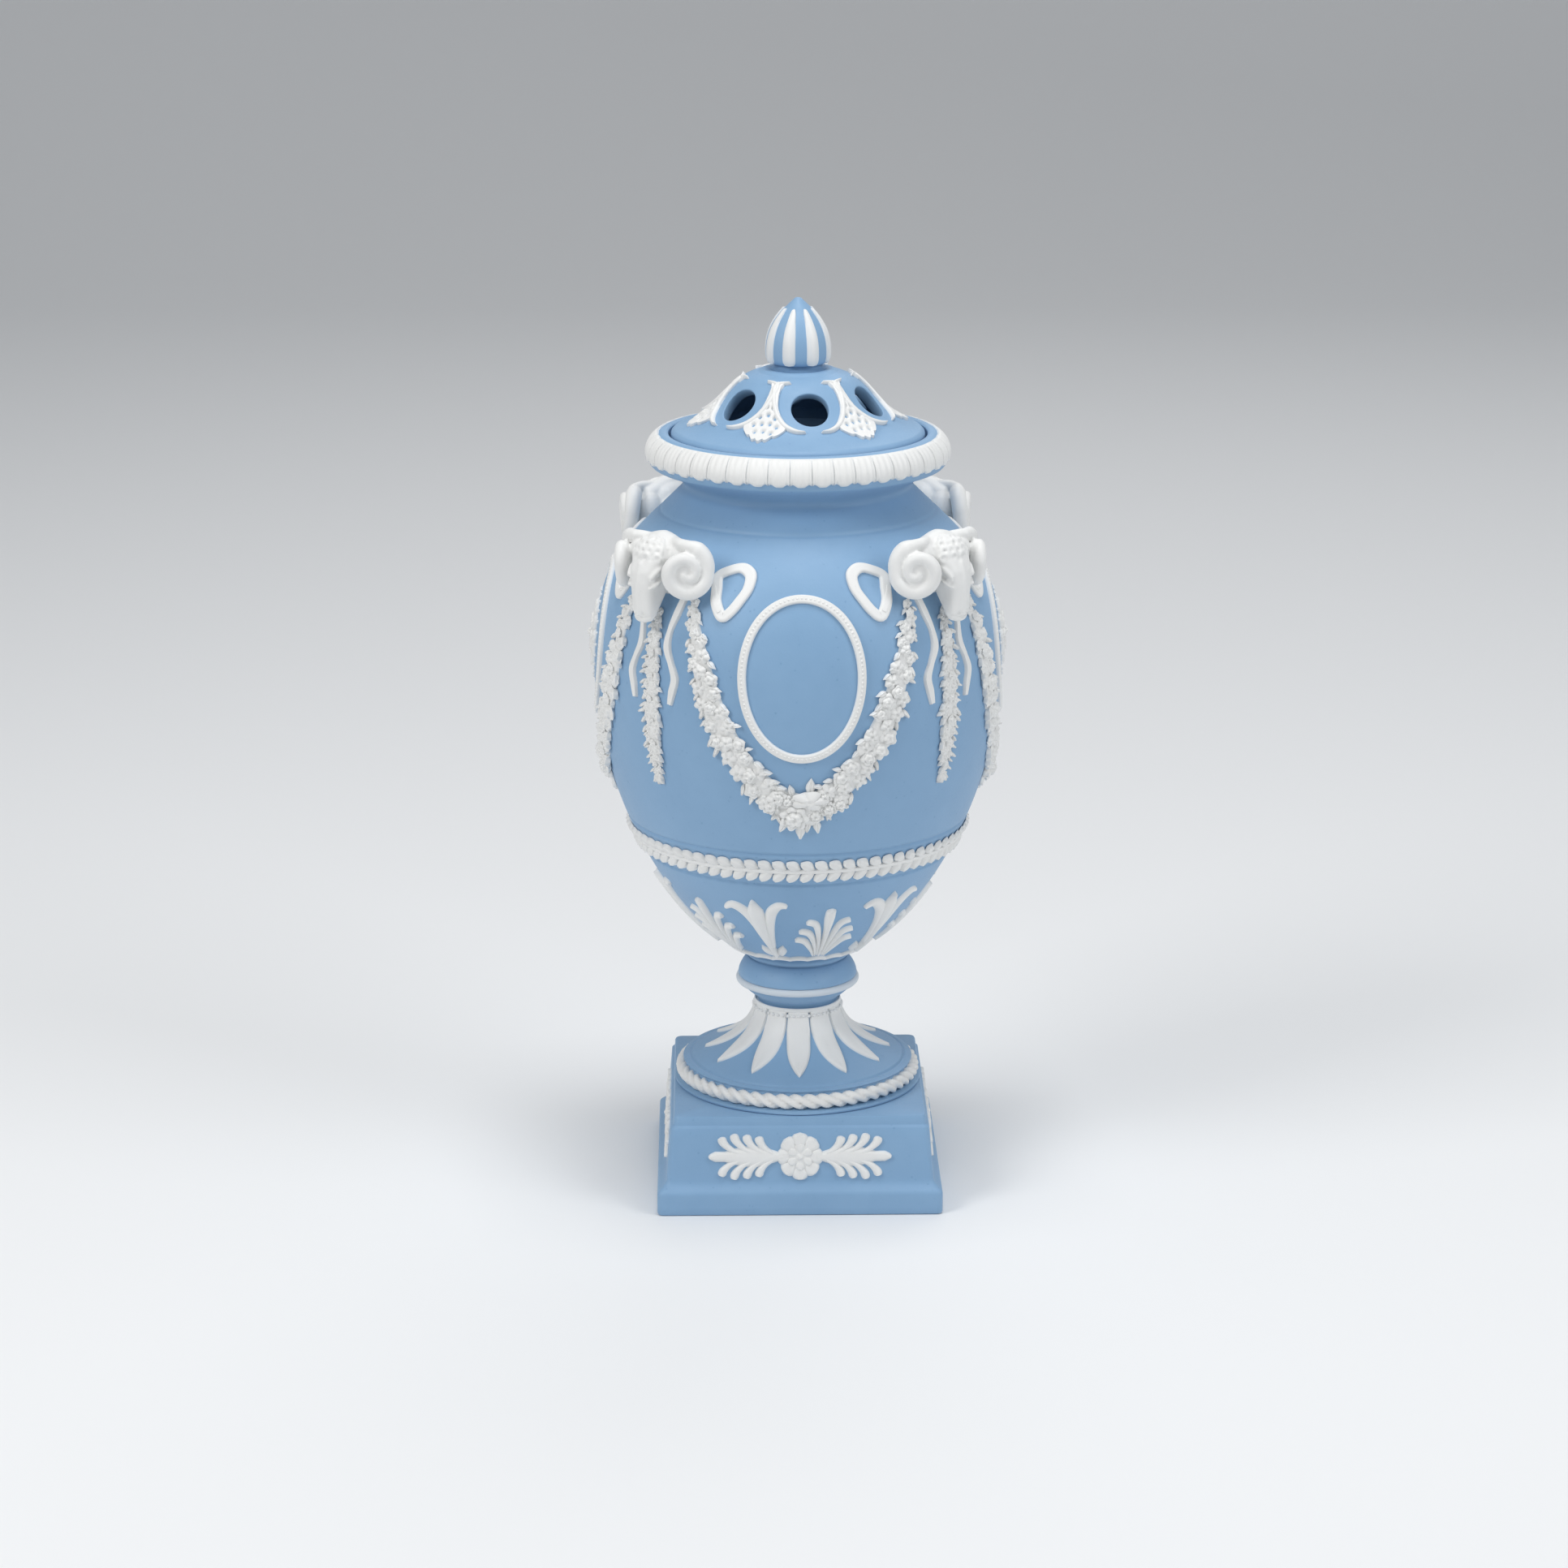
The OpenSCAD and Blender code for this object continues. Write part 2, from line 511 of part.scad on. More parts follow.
// Hole places on the cover
hole_z = edge_z + dome_h * 0.54;
module cover() {
  dome_under = [for (p = shifted(dome_curve, cover_wall)) if (p[0] < skirt_r - 3.4) p];
  blue() difference() {
    rotate_extrude() polygon(concat(
      [[skirt_r, ledge_z], [cover_r, ledge_z], [cover_r, edge_z - 0.4], [cover_r - 0.5, edge_z]],
      dome_curve, [[11.8, dome_z], [0, dome_z], [0, dome_z - cover_wall - 1]],
      flip(dome_under),
      [[skirt_r - 3.4, edge_z - 1.6], [skirt_r - 3.4, ledge_z - skirt_h], [skirt_r - 0.4, ledge_z - skirt_h],
       [skirt_r, ledge_z - skirt_h + 0.8]]));
    for (i = [0:hole_count - 1]) {
      k = slope(dome_s, hole_z);
      rotate(cover_turn + 360 * i / hole_count) translate(seat(dome_s, 0, hole_z, 0))
        rotate([90 - atan(-k), 0, 0]) translate([0, 0, -7]) cylinder(d = hole_d, h = 14, $fn = 48);
    }
  }
}

// Pendants between the holes, each between two wings
module cover_palmettes() {
  step = 360 / hole_count;
  round_hole = hole_d / 2 + 3.6;
  widths = [0.8, 1.3, 1.4, 2, 3.4, 4.6, 5.2];
  white() for (i = [0:hole_count - 1])
    stroke(dome_s, [for (j = [0:6]) local(dome_s, [cover_turn + step * (i + 0.5), hole_z], 0, 8 - 3 * j)],
           widths, 1.2, stripe_section);
  white() for (i = [0:hole_count - 1], k = [-1, 1])
    stroke(dome_s, [for (j = [0:6]) let (t = mix(34, 146, j / 6))
             local(dome_s, [cover_turn + step * i, hole_z], k * round_hole * sin(t), round_hole * cos(t))],
           [for (j = [0:6]) j == 0 || j == 6 ? 0.4 : 0.95], 1.2, low_section);
}

module finial_collar() {
  blue() translate([0, 0, dome_z]) rotate_extrude() polygon([
    [0, 0], [collar_r + 1.6, 0], [collar_r + 0.2, 0.5], [collar_r - 0.4, collar_h], [0, collar_h]]);
}

module finial() {
  blue() rotate_extrude() polygon(concat([[0, bud_z]], bud_curve, [[0, bud_z + bud_h]]));
}

module finial_stripes() {
  white() for (i = [0:stripe_count - 1])
    stroke(bud_s, [for (j = [0:8])
             [bud_turn + 360 * (i + 0.5) / stripe_count, bud_z + mix(1.6, bud_h - 3.4, j / 8)]],
           [for (j = [0:8]) mix(2, 0.5, pow(j / 8, 2)) * (j == 0 ? 0.7 : 1) * 8 / stripe_count], 0.6,
           stripe_section);
}

// Bolt from the vessel floor down to the nut under the plinth roof
washer_z = vessel_z + floor_h;
nut_z = plinth_h - plinth_roof - washer_h - nut_h;
module tie_bolt() {
  metal() union() {
    translate([0, 0, nut_z - 3]) cylinder(d = bolt_d, h = washer_z + washer_h - nut_z + 3 + e);
    difference() {
      translate([0, 0, washer_z + washer_h]) cylinder(d = bolt_d * 2, h = head_h);
      translate([-bolt_d - 1, -0.6, washer_z + washer_h + head_h - 1.6]) cube([2 * bolt_d + 2, 1.2, 3]);
    }
  }
}

module washer(z) {
  soft() translate([0, 0, z]) difference() {
    cylinder(d = washer_d, h = washer_h);
    translate([0, 0, -1]) cylinder(d = bolt_d + 0.3, h = washer_h + 2);
  }
}

module tie_nut() {
  metal() translate([0, 0, nut_z]) difference() {
    cylinder(d = nut_w / cos(30), h = nut_h, $fn = 6);
    translate([0, 0, -1]) cylinder(d = bolt_d + 0.1, h = nut_h + 2);
  }
}

plinth();
plinth_spray(0);  // plinth_spray_front
plinth_spray(90);  // plinth_spray_right
plinth_spray(180);  // plinth_spray_back
plinth_spray(270);  // plinth_spray_left
socle();
rope_band();
socle_leaves();
socle_bead_ring();
knop();
knop_band();
vessel();
rim_border();
calyx_edge();
calyx_lilies();
calyx_palmettes();
laurel_band();
garland(0);  // garland_front
garland(90);  // garland_right
garland(180);  // garland_back
garland(270);  // garland_left
medallion(0);  // medallion_front
medallion(90);  // medallion_right
medallion(180);  // medallion_back
medallion(270);  // medallion_left
patera(90);  // patera_right
patera(270);  // patera_left
ram(45);  // ram_front_right
ram(135);  // ram_back_right
ram(225);  // ram_back_left
ram(315);  // ram_front_left
bow(45);  // bow_front_right
bow(135);  // bow_back_right
bow(225);  // bow_back_left
bow(315);  // bow_front_left
drop(45);  // drop_front_right
drop(135);  // drop_back_right
drop(225);  // drop_back_left
drop(315);  // drop_front_left
cover();
cover_palmettes();
finial_collar();
finial();
finial_stripes();
tie_bolt();
washer(washer_z);  // head_washer
washer(plinth_h - plinth_roof - washer_h);  // nut_washer
tie_nut();
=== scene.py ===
"""Looks of a covered potpourri vase in two colours of unglazed stoneware.

Lengths are in millimetres until a mesh is written, turns are in degrees from the front towards +X.
"""
import json
import logging
import math
from dataclasses import dataclass, field
from enum import Enum
from typing import Callable, Dict, Iterable, List, Optional, Sequence, Tuple, Union

import bpy
import numpy as np
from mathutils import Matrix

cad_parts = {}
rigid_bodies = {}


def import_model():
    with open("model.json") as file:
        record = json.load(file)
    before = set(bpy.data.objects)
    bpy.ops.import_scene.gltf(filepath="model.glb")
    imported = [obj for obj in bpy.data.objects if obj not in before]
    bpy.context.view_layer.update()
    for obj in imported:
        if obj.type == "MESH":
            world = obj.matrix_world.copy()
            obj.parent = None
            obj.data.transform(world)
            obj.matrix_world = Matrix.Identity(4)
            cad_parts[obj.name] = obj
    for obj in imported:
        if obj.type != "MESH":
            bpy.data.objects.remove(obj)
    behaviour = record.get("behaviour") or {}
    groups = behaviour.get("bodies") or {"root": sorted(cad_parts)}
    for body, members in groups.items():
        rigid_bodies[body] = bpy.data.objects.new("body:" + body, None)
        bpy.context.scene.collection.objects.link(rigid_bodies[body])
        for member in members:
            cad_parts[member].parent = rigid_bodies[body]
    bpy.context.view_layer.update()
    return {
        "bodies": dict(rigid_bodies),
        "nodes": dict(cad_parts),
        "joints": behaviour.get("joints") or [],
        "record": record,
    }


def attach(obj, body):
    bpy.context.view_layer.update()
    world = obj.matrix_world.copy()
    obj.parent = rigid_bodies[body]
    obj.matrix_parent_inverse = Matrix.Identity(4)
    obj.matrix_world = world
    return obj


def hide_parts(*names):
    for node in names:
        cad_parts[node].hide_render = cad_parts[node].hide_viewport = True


LOG = logging.getLogger("vase")
MM = 0.001  # metres in a millimetre
NUDGE = 0.01  # share of a path on both sides of a place, from which its direction is read
CLOSE = 0.002  # millimetres within which points are joined
BURIED = 0.2  # millimetres that undersides lie below the surface
Array = np.ndarray
Face = Tuple[int, ...]
Shape = Callable[[Array, Array], Tuple[Array, Array, Array]]
Colour = Tuple[float, float, float]
Tint = Tuple[float, float, float, float]
Socket = bpy.types.NodeSocket


class Quarter(Enum):
    """The four sides of the vase and their turns."""

    FRONT = 0.0
    RIGHT = 90.0
    BACK = 180.0
    LEFT = 270.0


class Corner(Enum):
    """The four corners between the sides and their turns."""

    FRONT_RIGHT = 45.0
    BACK_RIGHT = 135.0
    BACK_LEFT = 225.0
    FRONT_LEFT = 315.0


def bezier(a: Sequence[float], b: Sequence[float], c: Sequence[float], d: Sequence[float], n: int) -> Array:
    """Samples a cubic curve.

    Args:
        a, b, c, d: End, two handles and end.
        n: Number of steps.

    Returns:
        An array of n + 1 points.
    """
    t = np.linspace(0.0, 1.0, n + 1)[:, None]
    p = [np.asarray(q, float) for q in (a, b, c, d)]
    return (1 - t) ** 3 * p[0] + 3 * (1 - t) ** 2 * t * p[1] + 3 * (1 - t) * t * t * p[2] + t**3 * p[3]


def smooth(t: Array, low: float, high: float) -> Array:
    """Gives a soft step from 0 at low to 1 at high."""
    k = np.clip((t - low) / (high - low), 0.0, 1.0)
    return k * k * (3 - 2 * k)


def spread(points: Sequence[Sequence[float]], t: Array) -> Array:
    """Reads a smooth path through points.

    Args:
        points: Points that the path passes, at even steps of t.
        t: Places from 0 to 1.

    Returns:
        One point for each place.
    """
    p = np.asarray(points, float)
    n = len(p) - 1
    k = np.clip(np.asarray(t, float) * n, 0, n)
    i = np.minimum(k.astype(int), n - 1)
    f = (k - i)[:, None]
    q0, q1, q2, q3 = p[np.maximum(i - 1, 0)], p[i], p[i + 1], p[np.minimum(i + 2, n)]
    return 0.5 * (2 * q1 + (q2 - q0) * f + (2 * q0 - 5 * q1 + 4 * q2 - q3) * f**2
                  + (3 * q1 - q0 - 3 * q2 + q3) * f**3)


def direction(points: Sequence[Sequence[float]], t: Array) -> Array:
    """Gives the directions of a smooth path at places from 0 to 1."""
    way = spread(points, np.clip(t + NUDGE, 0, 1)) - spread(points, np.clip(t - NUDGE, 0, 1))
    return way / np.maximum(np.linalg.norm(way, axis=1), 1e-9)[:, None]


def turns(count: int, start: float = 0.0) -> List[float]:
    """Gives the turns of evenly spread copies, in degrees."""
    return [start + 360.0 * k / count for k in range(count)]


@dataclass
class TurnedFace:
    """A surface of revolution that carries relief, from a profile of radius and height."""

    profile: Array
    length: Array = field(init=False)
    normal: Array = field(init=False)

    def __post_init__(self) -> None:
        """Measures the profile and its outward direction."""
        p = self.profile
        self.length = np.concatenate([[0.0], np.cumsum(np.linalg.norm(np.diff(p, axis=0), axis=1))])
        d = np.gradient(p, self.length, axis=0)
        d /= np.linalg.norm(d, axis=1)[:, None]
        self.normal = np.stack([d[:, 1], -d[:, 0]], axis=1)

    def up_to(self, z: float) -> float:
        """Gives the length along the profile at a height."""
        return float(np.interp(z, self.profile[:, 1], self.length))

    def radius(self, s: Array) -> Array:
        """Gives the radius at one or more lengths along the profile."""
        return np.interp(s, self.length, self.profile[:, 0])

    def place(self, local: Array, turn: float, up: float) -> Array:
        """Lays local points on the surface.

        Args:
            local: Points as across, up and out.
            turn: Turn of the local origin.
            up: Length along the profile of the local origin.

        Returns:
            The points in the frame of the vase.
        """
        s = up + local[:, 1]
        at = [np.interp(s, self.length, col) for col in (*self.profile.T, *self.normal.T)]
        over = s - np.clip(s, 0.0, self.length[-1])
        a = np.radians(turn) + local[:, 0] / np.maximum(at[0], 1.0)
        r = at[0] + local[:, 2] * at[2] - over * at[3]
        z = at[1] + local[:, 2] * at[3] + over * at[2]
        return np.stack([r * np.sin(a), -r * np.cos(a), z], axis=1)


@dataclass
class FlatFace:
    """A leaning flat face of the plinth that carries relief."""

    foot: float
    top: float
    low: float
    high: float

    def place(self, local: Array, turn: float, up: float) -> Array:
        """Lays local points on the face at a turn, with up as the height of the local origin."""
        lean = math.atan2(self.foot - self.top, self.high - self.low)
        z = up + local[:, 1] * math.cos(lean) + local[:, 2] * math.sin(lean)
        reach = np.interp(up, [self.low, self.high], [self.foot, self.top])
        y = -(reach - local[:, 1] * math.sin(lean) + local[:, 2] * math.cos(lean))
        a = math.radians(turn)
        x = local[:, 0]
        return np.stack([x * math.cos(a) - y * math.sin(a), x * math.sin(a) + y * math.cos(a), z], axis=1)


Surface = Union[TurnedFace, FlatFace]


@dataclass
class Stamp:
    """A small modelled form in local millimetres, ready to be laid many times."""

    verts: Array
    faces: List[Face]

    def turned(self, degrees: float) -> "Stamp":
        """Gives the form turned in its own plane."""
        c, s = math.cos(math.radians(degrees)), math.sin(math.radians(degrees))
        v = self.verts.copy()
        v[:, 0], v[:, 1] = c * self.verts[:, 0] - s * self.verts[:, 1], s * self.verts[:, 0] + c * self.verts[:, 1]
        return Stamp(v, self.faces)

    def moved(self, x: float, y: float, out: float = 0.0) -> "Stamp":
        """Gives the form shifted."""
        return Stamp(self.verts + np.array([x, y, out]), self.faces)

    def sized(self, x: float, y: float, out: float) -> "Stamp":
        """Gives the form scaled; a negative x mirrors it."""
        faces = [f[::-1] for f in self.faces] if x * y * out < 0 else self.faces
        return Stamp(self.verts * np.array([x, y, out]), faces)

    @staticmethod
    def joined(parts: Sequence["Stamp"]) -> "Stamp":
        """Gives several stamps as one."""
        base, verts, faces = 0, [], []
        for part in parts:
            verts.append(part.verts)
            faces.extend(tuple(i + base for i in f) for f in part.faces)
            base += len(part.verts)
        return Stamp(np.concatenate(verts), faces)

    def tipped(self, degrees: float, heading: float = 90.0) -> "Stamp":
        """Gives the form with its far end raised.

        Args:
            degrees: Angle that the end at the heading rises by.
            heading: Direction in the plane, from across.

        Returns:
            The tipped form.
        """
        back = self.turned(-heading)
        v = back.verts.copy()
        c, s = math.cos(math.radians(degrees)), math.sin(math.radians(degrees))
        v[:, 0], v[:, 2] = c * back.verts[:, 0] - s * back.verts[:, 2], s * back.verts[:, 0] + c * back.verts[:, 2]
        return Stamp(v, self.faces).turned(heading)


class Bench:
    """Modelling steps that pieces share."""

    @staticmethod
    def clear_selection() -> None:
        """Leaves edit mode and deselects everything."""
        if bpy.context.object and bpy.context.object.mode != "OBJECT":
            bpy.ops.object.mode_set(mode="OBJECT")
        bpy.ops.object.select_all(action="DESELECT")

    @staticmethod
    def pick(obj: bpy.types.Object) -> None:
        """Makes an object active and the only one selected."""
        Bench.clear_selection()
        bpy.context.view_layer.objects.active = obj
        obj.select_set(True)

    @staticmethod
    def added(name: str, verts: Sequence[Sequence[float]], edges: List[Tuple[int, int]],
              faces: List[Face]) -> bpy.types.Object:
        """Adds an object from points in metres and picks it.

        Args:
            name: Name of the object.
            verts, edges, faces: What its mesh is made of.

        Returns:
            The object.
        """
        mesh = bpy.data.meshes.new(name)
        mesh.from_pydata(verts, edges, faces)
        obj = bpy.data.objects.new(name, mesh)
        bpy.context.collection.objects.link(obj)
        Bench.pick(obj)
        return obj

    @staticmethod
    def points(obj: bpy.types.Object) -> Array:
        """Reads the points of an object."""
        co = np.empty(len(obj.data.vertices) * 3)
        obj.data.vertices.foreach_get("co", co)
        return co.reshape(-1, 3)

    @staticmethod
    def reshaped(obj: bpy.types.Object, points: Array) -> bpy.types.Object:
        """Writes the points of an object and gives it back."""
        obj.data.vertices.foreach_set("co", points.ravel())
        return obj

    @staticmethod
    def take(obj: bpy.types.Object) -> Stamp:
        """Reads a modelled object into a stamp and removes the object."""
        mesh = obj.data
        stamp = Stamp(Bench.points(obj), [tuple(p.vertices) for p in mesh.polygons])
        bpy.data.objects.remove(obj, do_unlink=True)
        bpy.data.meshes.remove(mesh)
        return stamp

    @staticmethod
    def weld(obj: bpy.types.Object, threshold: float) -> None:
        """Joins the points of an object that lie closer than the threshold."""
        Bench.pick(obj)
        bpy.ops.object.mode_set(mode="EDIT")
        bpy.ops.mesh.select_all(action="SELECT")
        bpy.ops.mesh.remove_doubles(threshold=threshold)
        bpy.ops.object.mode_set(mode="OBJECT")

    @staticmethod
    def outward(obj: bpy.types.Object) -> None:
        """Turns the faces of an object outwards."""
        Bench.pick(obj)
        bpy.ops.object.mode_set(mode="EDIT")
        bpy.ops.mesh.select_all(action="SELECT")
        bpy.ops.mesh.normals_make_consistent(inside=False)
        bpy.ops.object.mode_set(mode="OBJECT")

    @staticmethod
    def grid(across: int, along: int) -> Tuple[bpy.types.Object, Array, Array]:
        """Adds a flat grid.

        Args:
            across, along: Steps both ways.

        Returns:
            The grid and the places of its points, across from -1 to 1 and along from 0 to 1.
        """
        Bench.clear_selection()
        bpy.ops.mesh.primitive_grid_add(x_subdivisions=across, y_subdivisions=along, size=2.0)
        co = Bench.points(bpy.context.object)
        return bpy.context.object, co[:, 0], (co[:, 1] + 1) / 2

    @staticmethod
    def globe(segments: int, rings: int) -> Tuple[bpy.types.Object, Array, Array]:
        """Adds a ball.

        Args:
            segments, rings: Steps round and from pole to pole.

        Returns:
            The ball, the places of its points from pole to pole, 0 to 1, and their turns in radians.
        """
        Bench.clear_selection()
        bpy.ops.mesh.primitive_uv_sphere_add(segments=segments, ring_count=rings, radius=1.0)
        co = Bench.points(bpy.context.object)
        return bpy.context.object, np.arccos(np.clip(co[:, 2], -1, 1)) / math.pi, np.arctan2(co[:, 1], co[:, 0])

    @staticmethod
    def sheet(across: int, along: int, shape: Shape, sink: float = 0.15) -> Stamp:
        """Models a raised form from a grid with its edge sunk and an underside that hugs the surface.

        Args:
            across: Grid steps across the form.
            along: Grid steps along the form.
            shape: Function from along (0 to 1) and across (-1 to 1) to local across, up and out.
            sink: Depth of the edge below the surface.

        Returns:
            The closed form.
        """
        obj, v, u = Bench.grid(across, along)
        x, y, out = shape(u, v)
        edge = (np.abs(v) > 0.999) | (u < 0.001) | (u > 0.999)
        top = Bench.take(Bench.reshaped(obj, np.stack([x, y, np.where(edge, -sink, out)], axis=1)))
        below = np.where(edge, np.arange(len(edge)), len(edge) + np.cumsum(~edge) - 1)
        under = top.verts[~edge] * np.array([1.0, 1.0, 0.0]) - np.array([0.0, 0.0, sink + 0.1])
        faces = top.faces + [tuple(int(below[i]) for i in reversed(f)) for f in top.faces]
        return Stamp(np.concatenate([top.verts, under]), faces)

    @staticmethod
    def ring(around: int, sides: int, shape: Shape) -> Stamp:
        """Models a closed hoop from a torus.

        Args:
            around: Steps round the hoop.
            sides: Steps round its cross section.
            shape: Function from the turn round the hoop and round the section, in radians, to local points.

        Returns:
            The hoop.
        """
        Bench.clear_selection()
        bpy.ops.mesh.primitive_torus_add(major_segments=around, minor_segments=sides, major_radius=1.0,
                                         minor_radius=0.25)
        co = Bench.points(bpy.context.object)
        hoop = np.arctan2(co[:, 1], co[:, 0])
        section = np.arctan2(co[:, 2], np.hypot(co[:, 0], co[:, 1]) - 1.0)
        return Bench.take(Bench.reshaped(bpy.context.object, np.stack(shape(hoop, section), axis=1)))

    @staticmethod
    def wrapped(around: int, along: int, shape: Shape, capped: bool = False) -> Stamp:
        """Models a tube from a grid that is closed on itself.

        Args:
            around: Steps round the tube.
            along: Steps along the tube.
            shape: Function from around and along, both 0 to 1, to points.
            capped: True to close both ends with a face.

        Returns:
            The tube.
        """
        obj, across, v = Bench.grid(around, along)
        Bench.weld(Bench.reshaped(obj, np.stack(shape((across + 1) / 2, v), axis=1)), CLOSE)
        if capped:
            bpy.ops.object.mode_set(mode="EDIT")
            bpy.ops.mesh.select_all(action="DESELECT")
            bpy.ops.mesh.select_mode(type="EDGE")
            bpy.ops.mesh.select_non_manifold()
            bpy.ops.mesh.edge_face_add()
            bpy.ops.object.mode_set(mode="OBJECT")
        Bench.outward(obj)
        return Bench.take(obj)

    @staticmethod
    def worm(path: Sequence[Sequence[float]], radius: Sequence[float], sides: int, rings: int) -> Stamp:
        """Models a rounded limb along a path.

        Args:
            path: Points of the centre line.
            radius: Radius at each of the points.
            sides: Steps round the limb.
            rings: Steps along the limb.

        Returns:
            The limb, closed at both ends.
        """
        obj, t, ang = Bench.globe(sides, rings)
        way = direction(path, t)
        square = np.linalg.svd(way, full_matrices=False)[2][-1]
        side = square - way * (way @ square)[:, None]
        side /= np.linalg.norm(side, axis=1)[:, None]
        third = np.cross(side, way)
        blunt = np.minimum(1.0, 6.0 * np.sin(math.pi * t)) ** 0.5
        r = np.interp(t, np.linspace(0, 1, len(radius)), radius) * blunt
        off = np.cos(ang)[:, None] * side + np.sin(ang)[:, None] * third
        return Bench.take(Bench.reshaped(obj, spread(path, t) + r[:, None] * off))

    @staticmethod
    def ball(segments: int, rings: int, x: float, y: float, out: float) -> Stamp:
        """Models a flattened ball.

        Args:
            segments, rings: Steps round and from pole to pole.
            x, y, out: Half sizes across, up and out.

        Returns:
            The ball.
        """
        Bench.clear_selection()
        bpy.ops.mesh.primitive_uv_sphere_add(segments=segments, ring_count=rings, radius=1.0)
        bpy.ops.transform.resize(value=(x, y, out))
        bpy.ops.object.transform_apply(location=True, rotation=True, scale=True)
        return Bench.take(bpy.context.object)

    @staticmethod
    def spun(name: str, profile: Array, steps: int = 192) -> bpy.types.Object:
        """Spins a profile of radius and height into a closed solid.

        Args:
            name: Name of the piece.
            profile: Points from axis to axis, or a closed loop clear of the axis.
            steps: Steps of the turn.

        Returns:
            The piece in metres.
        """
        obj = Bench.whirled(name, profile, steps, loop=profile[0][0] > 1e-6)
        Bench.outward(obj)
        Bench.soften(obj, 40.0)
        return obj

    @staticmethod
    def whirled(name: str, profile: Array, steps: int, loop: bool = False) -> bpy.types.Object:
        """Spins a profile of radius and height into a strip.

        Args:
            name: Name of the strip.
            profile: Points of the profile.
            steps: Steps of the turn.
            loop: True to join the last point to the first.

        Returns:
            The strip in metres.
        """
        n = len(profile)
        edges = [(i, i + 1) for i in range(n - 1)] + ([(n - 1, 0)] if loop else [])
        obj = Bench.added(name, [(r * MM, 0.0, z * MM) for r, z in profile], edges, [])
        bpy.ops.object.mode_set(mode="EDIT")
        bpy.ops.mesh.select_all(action="SELECT")
        bpy.ops.mesh.spin(steps=steps, angle=math.tau, center=(0, 0, 0), axis=(0, 0, 1))
        bpy.ops.object.mode_set(mode="OBJECT")
        Bench.weld(obj, CLOSE * MM)
        return obj

    @staticmethod
    def soften(obj: bpy.types.Object, degrees: float) -> None:
        """Shades a piece smooth, with edges sharper than the angle kept."""
        Bench.pick(obj)
        bpy.ops.object.shade_smooth_by_angle(angle=math.radians(degrees))


@dataclass
class Relief:
    """Applied relief: stamps laid on a surface and joined into one piece."""

    name: str
    parts: List[Tuple[Stamp, Array]] = field(default_factory=list)

    def lay(self, face: Surface, stamp: Stamp, turn: float, up: float) -> "Relief":
        """Lays a stamp on a surface, with its lift kept for the finish, whose tint on low relief is partly painted
        shade.

        Args:
            face: The surface.
            stamp: What is laid.
            turn: Turn of the stamp's origin.
            up: Place of the stamp's origin along the surface.

        Returns:
            The relief.
        """
        self.parts.append((Stamp(face.place(stamp.verts, turn, up), stamp.faces), stamp.verts[:, 2]))
        return self

    def ring(self, face: Surface, stamps: Sequence[Stamp], up: float, count: int, start: float = 0.0) -> "Relief":
        """Lays stamps on a surface at evenly spread turns.

        Args:
            face: The surface.
            stamps: What is laid at each turn.
            up: Place of the stamps' origin along the surface.
            count: Number of turns.
            start: The first turn.

        Returns:
            The relief.
        """
        for turn in turns(count, start):
            for stamp in stamps:
                self.lay(face, stamp, turn, up)
        return self

    def add(self, stamp: Stamp, lift: float = 1.0) -> "Relief":
        """Adds a form that is in place already, with one lift for all of it."""
        self.parts.append((stamp, np.full(len(stamp.verts), lift)))
        return self

    def build(self, angle: float = 55.0) -> bpy.types.Object:
        """Joins what was laid.

        Args:
            angle: Edges sharper than this stay sharp.

        Returns:
            The piece in metres, with its lift as the attribute "lift".
        """
        whole = Stamp.joined([stamp for stamp, _ in self.parts])
        obj = Bench.added(self.name, (whole.verts * MM).tolist(), [], whole.faces)
        layer = obj.data.attributes.new("lift", "FLOAT", "POINT")
        layer.data.foreach_set("value", np.concatenate([lift for _, lift in self.parts]).astype(np.float32))
        Bench.outward(obj)
        Bench.soften(obj, angle)
        return obj


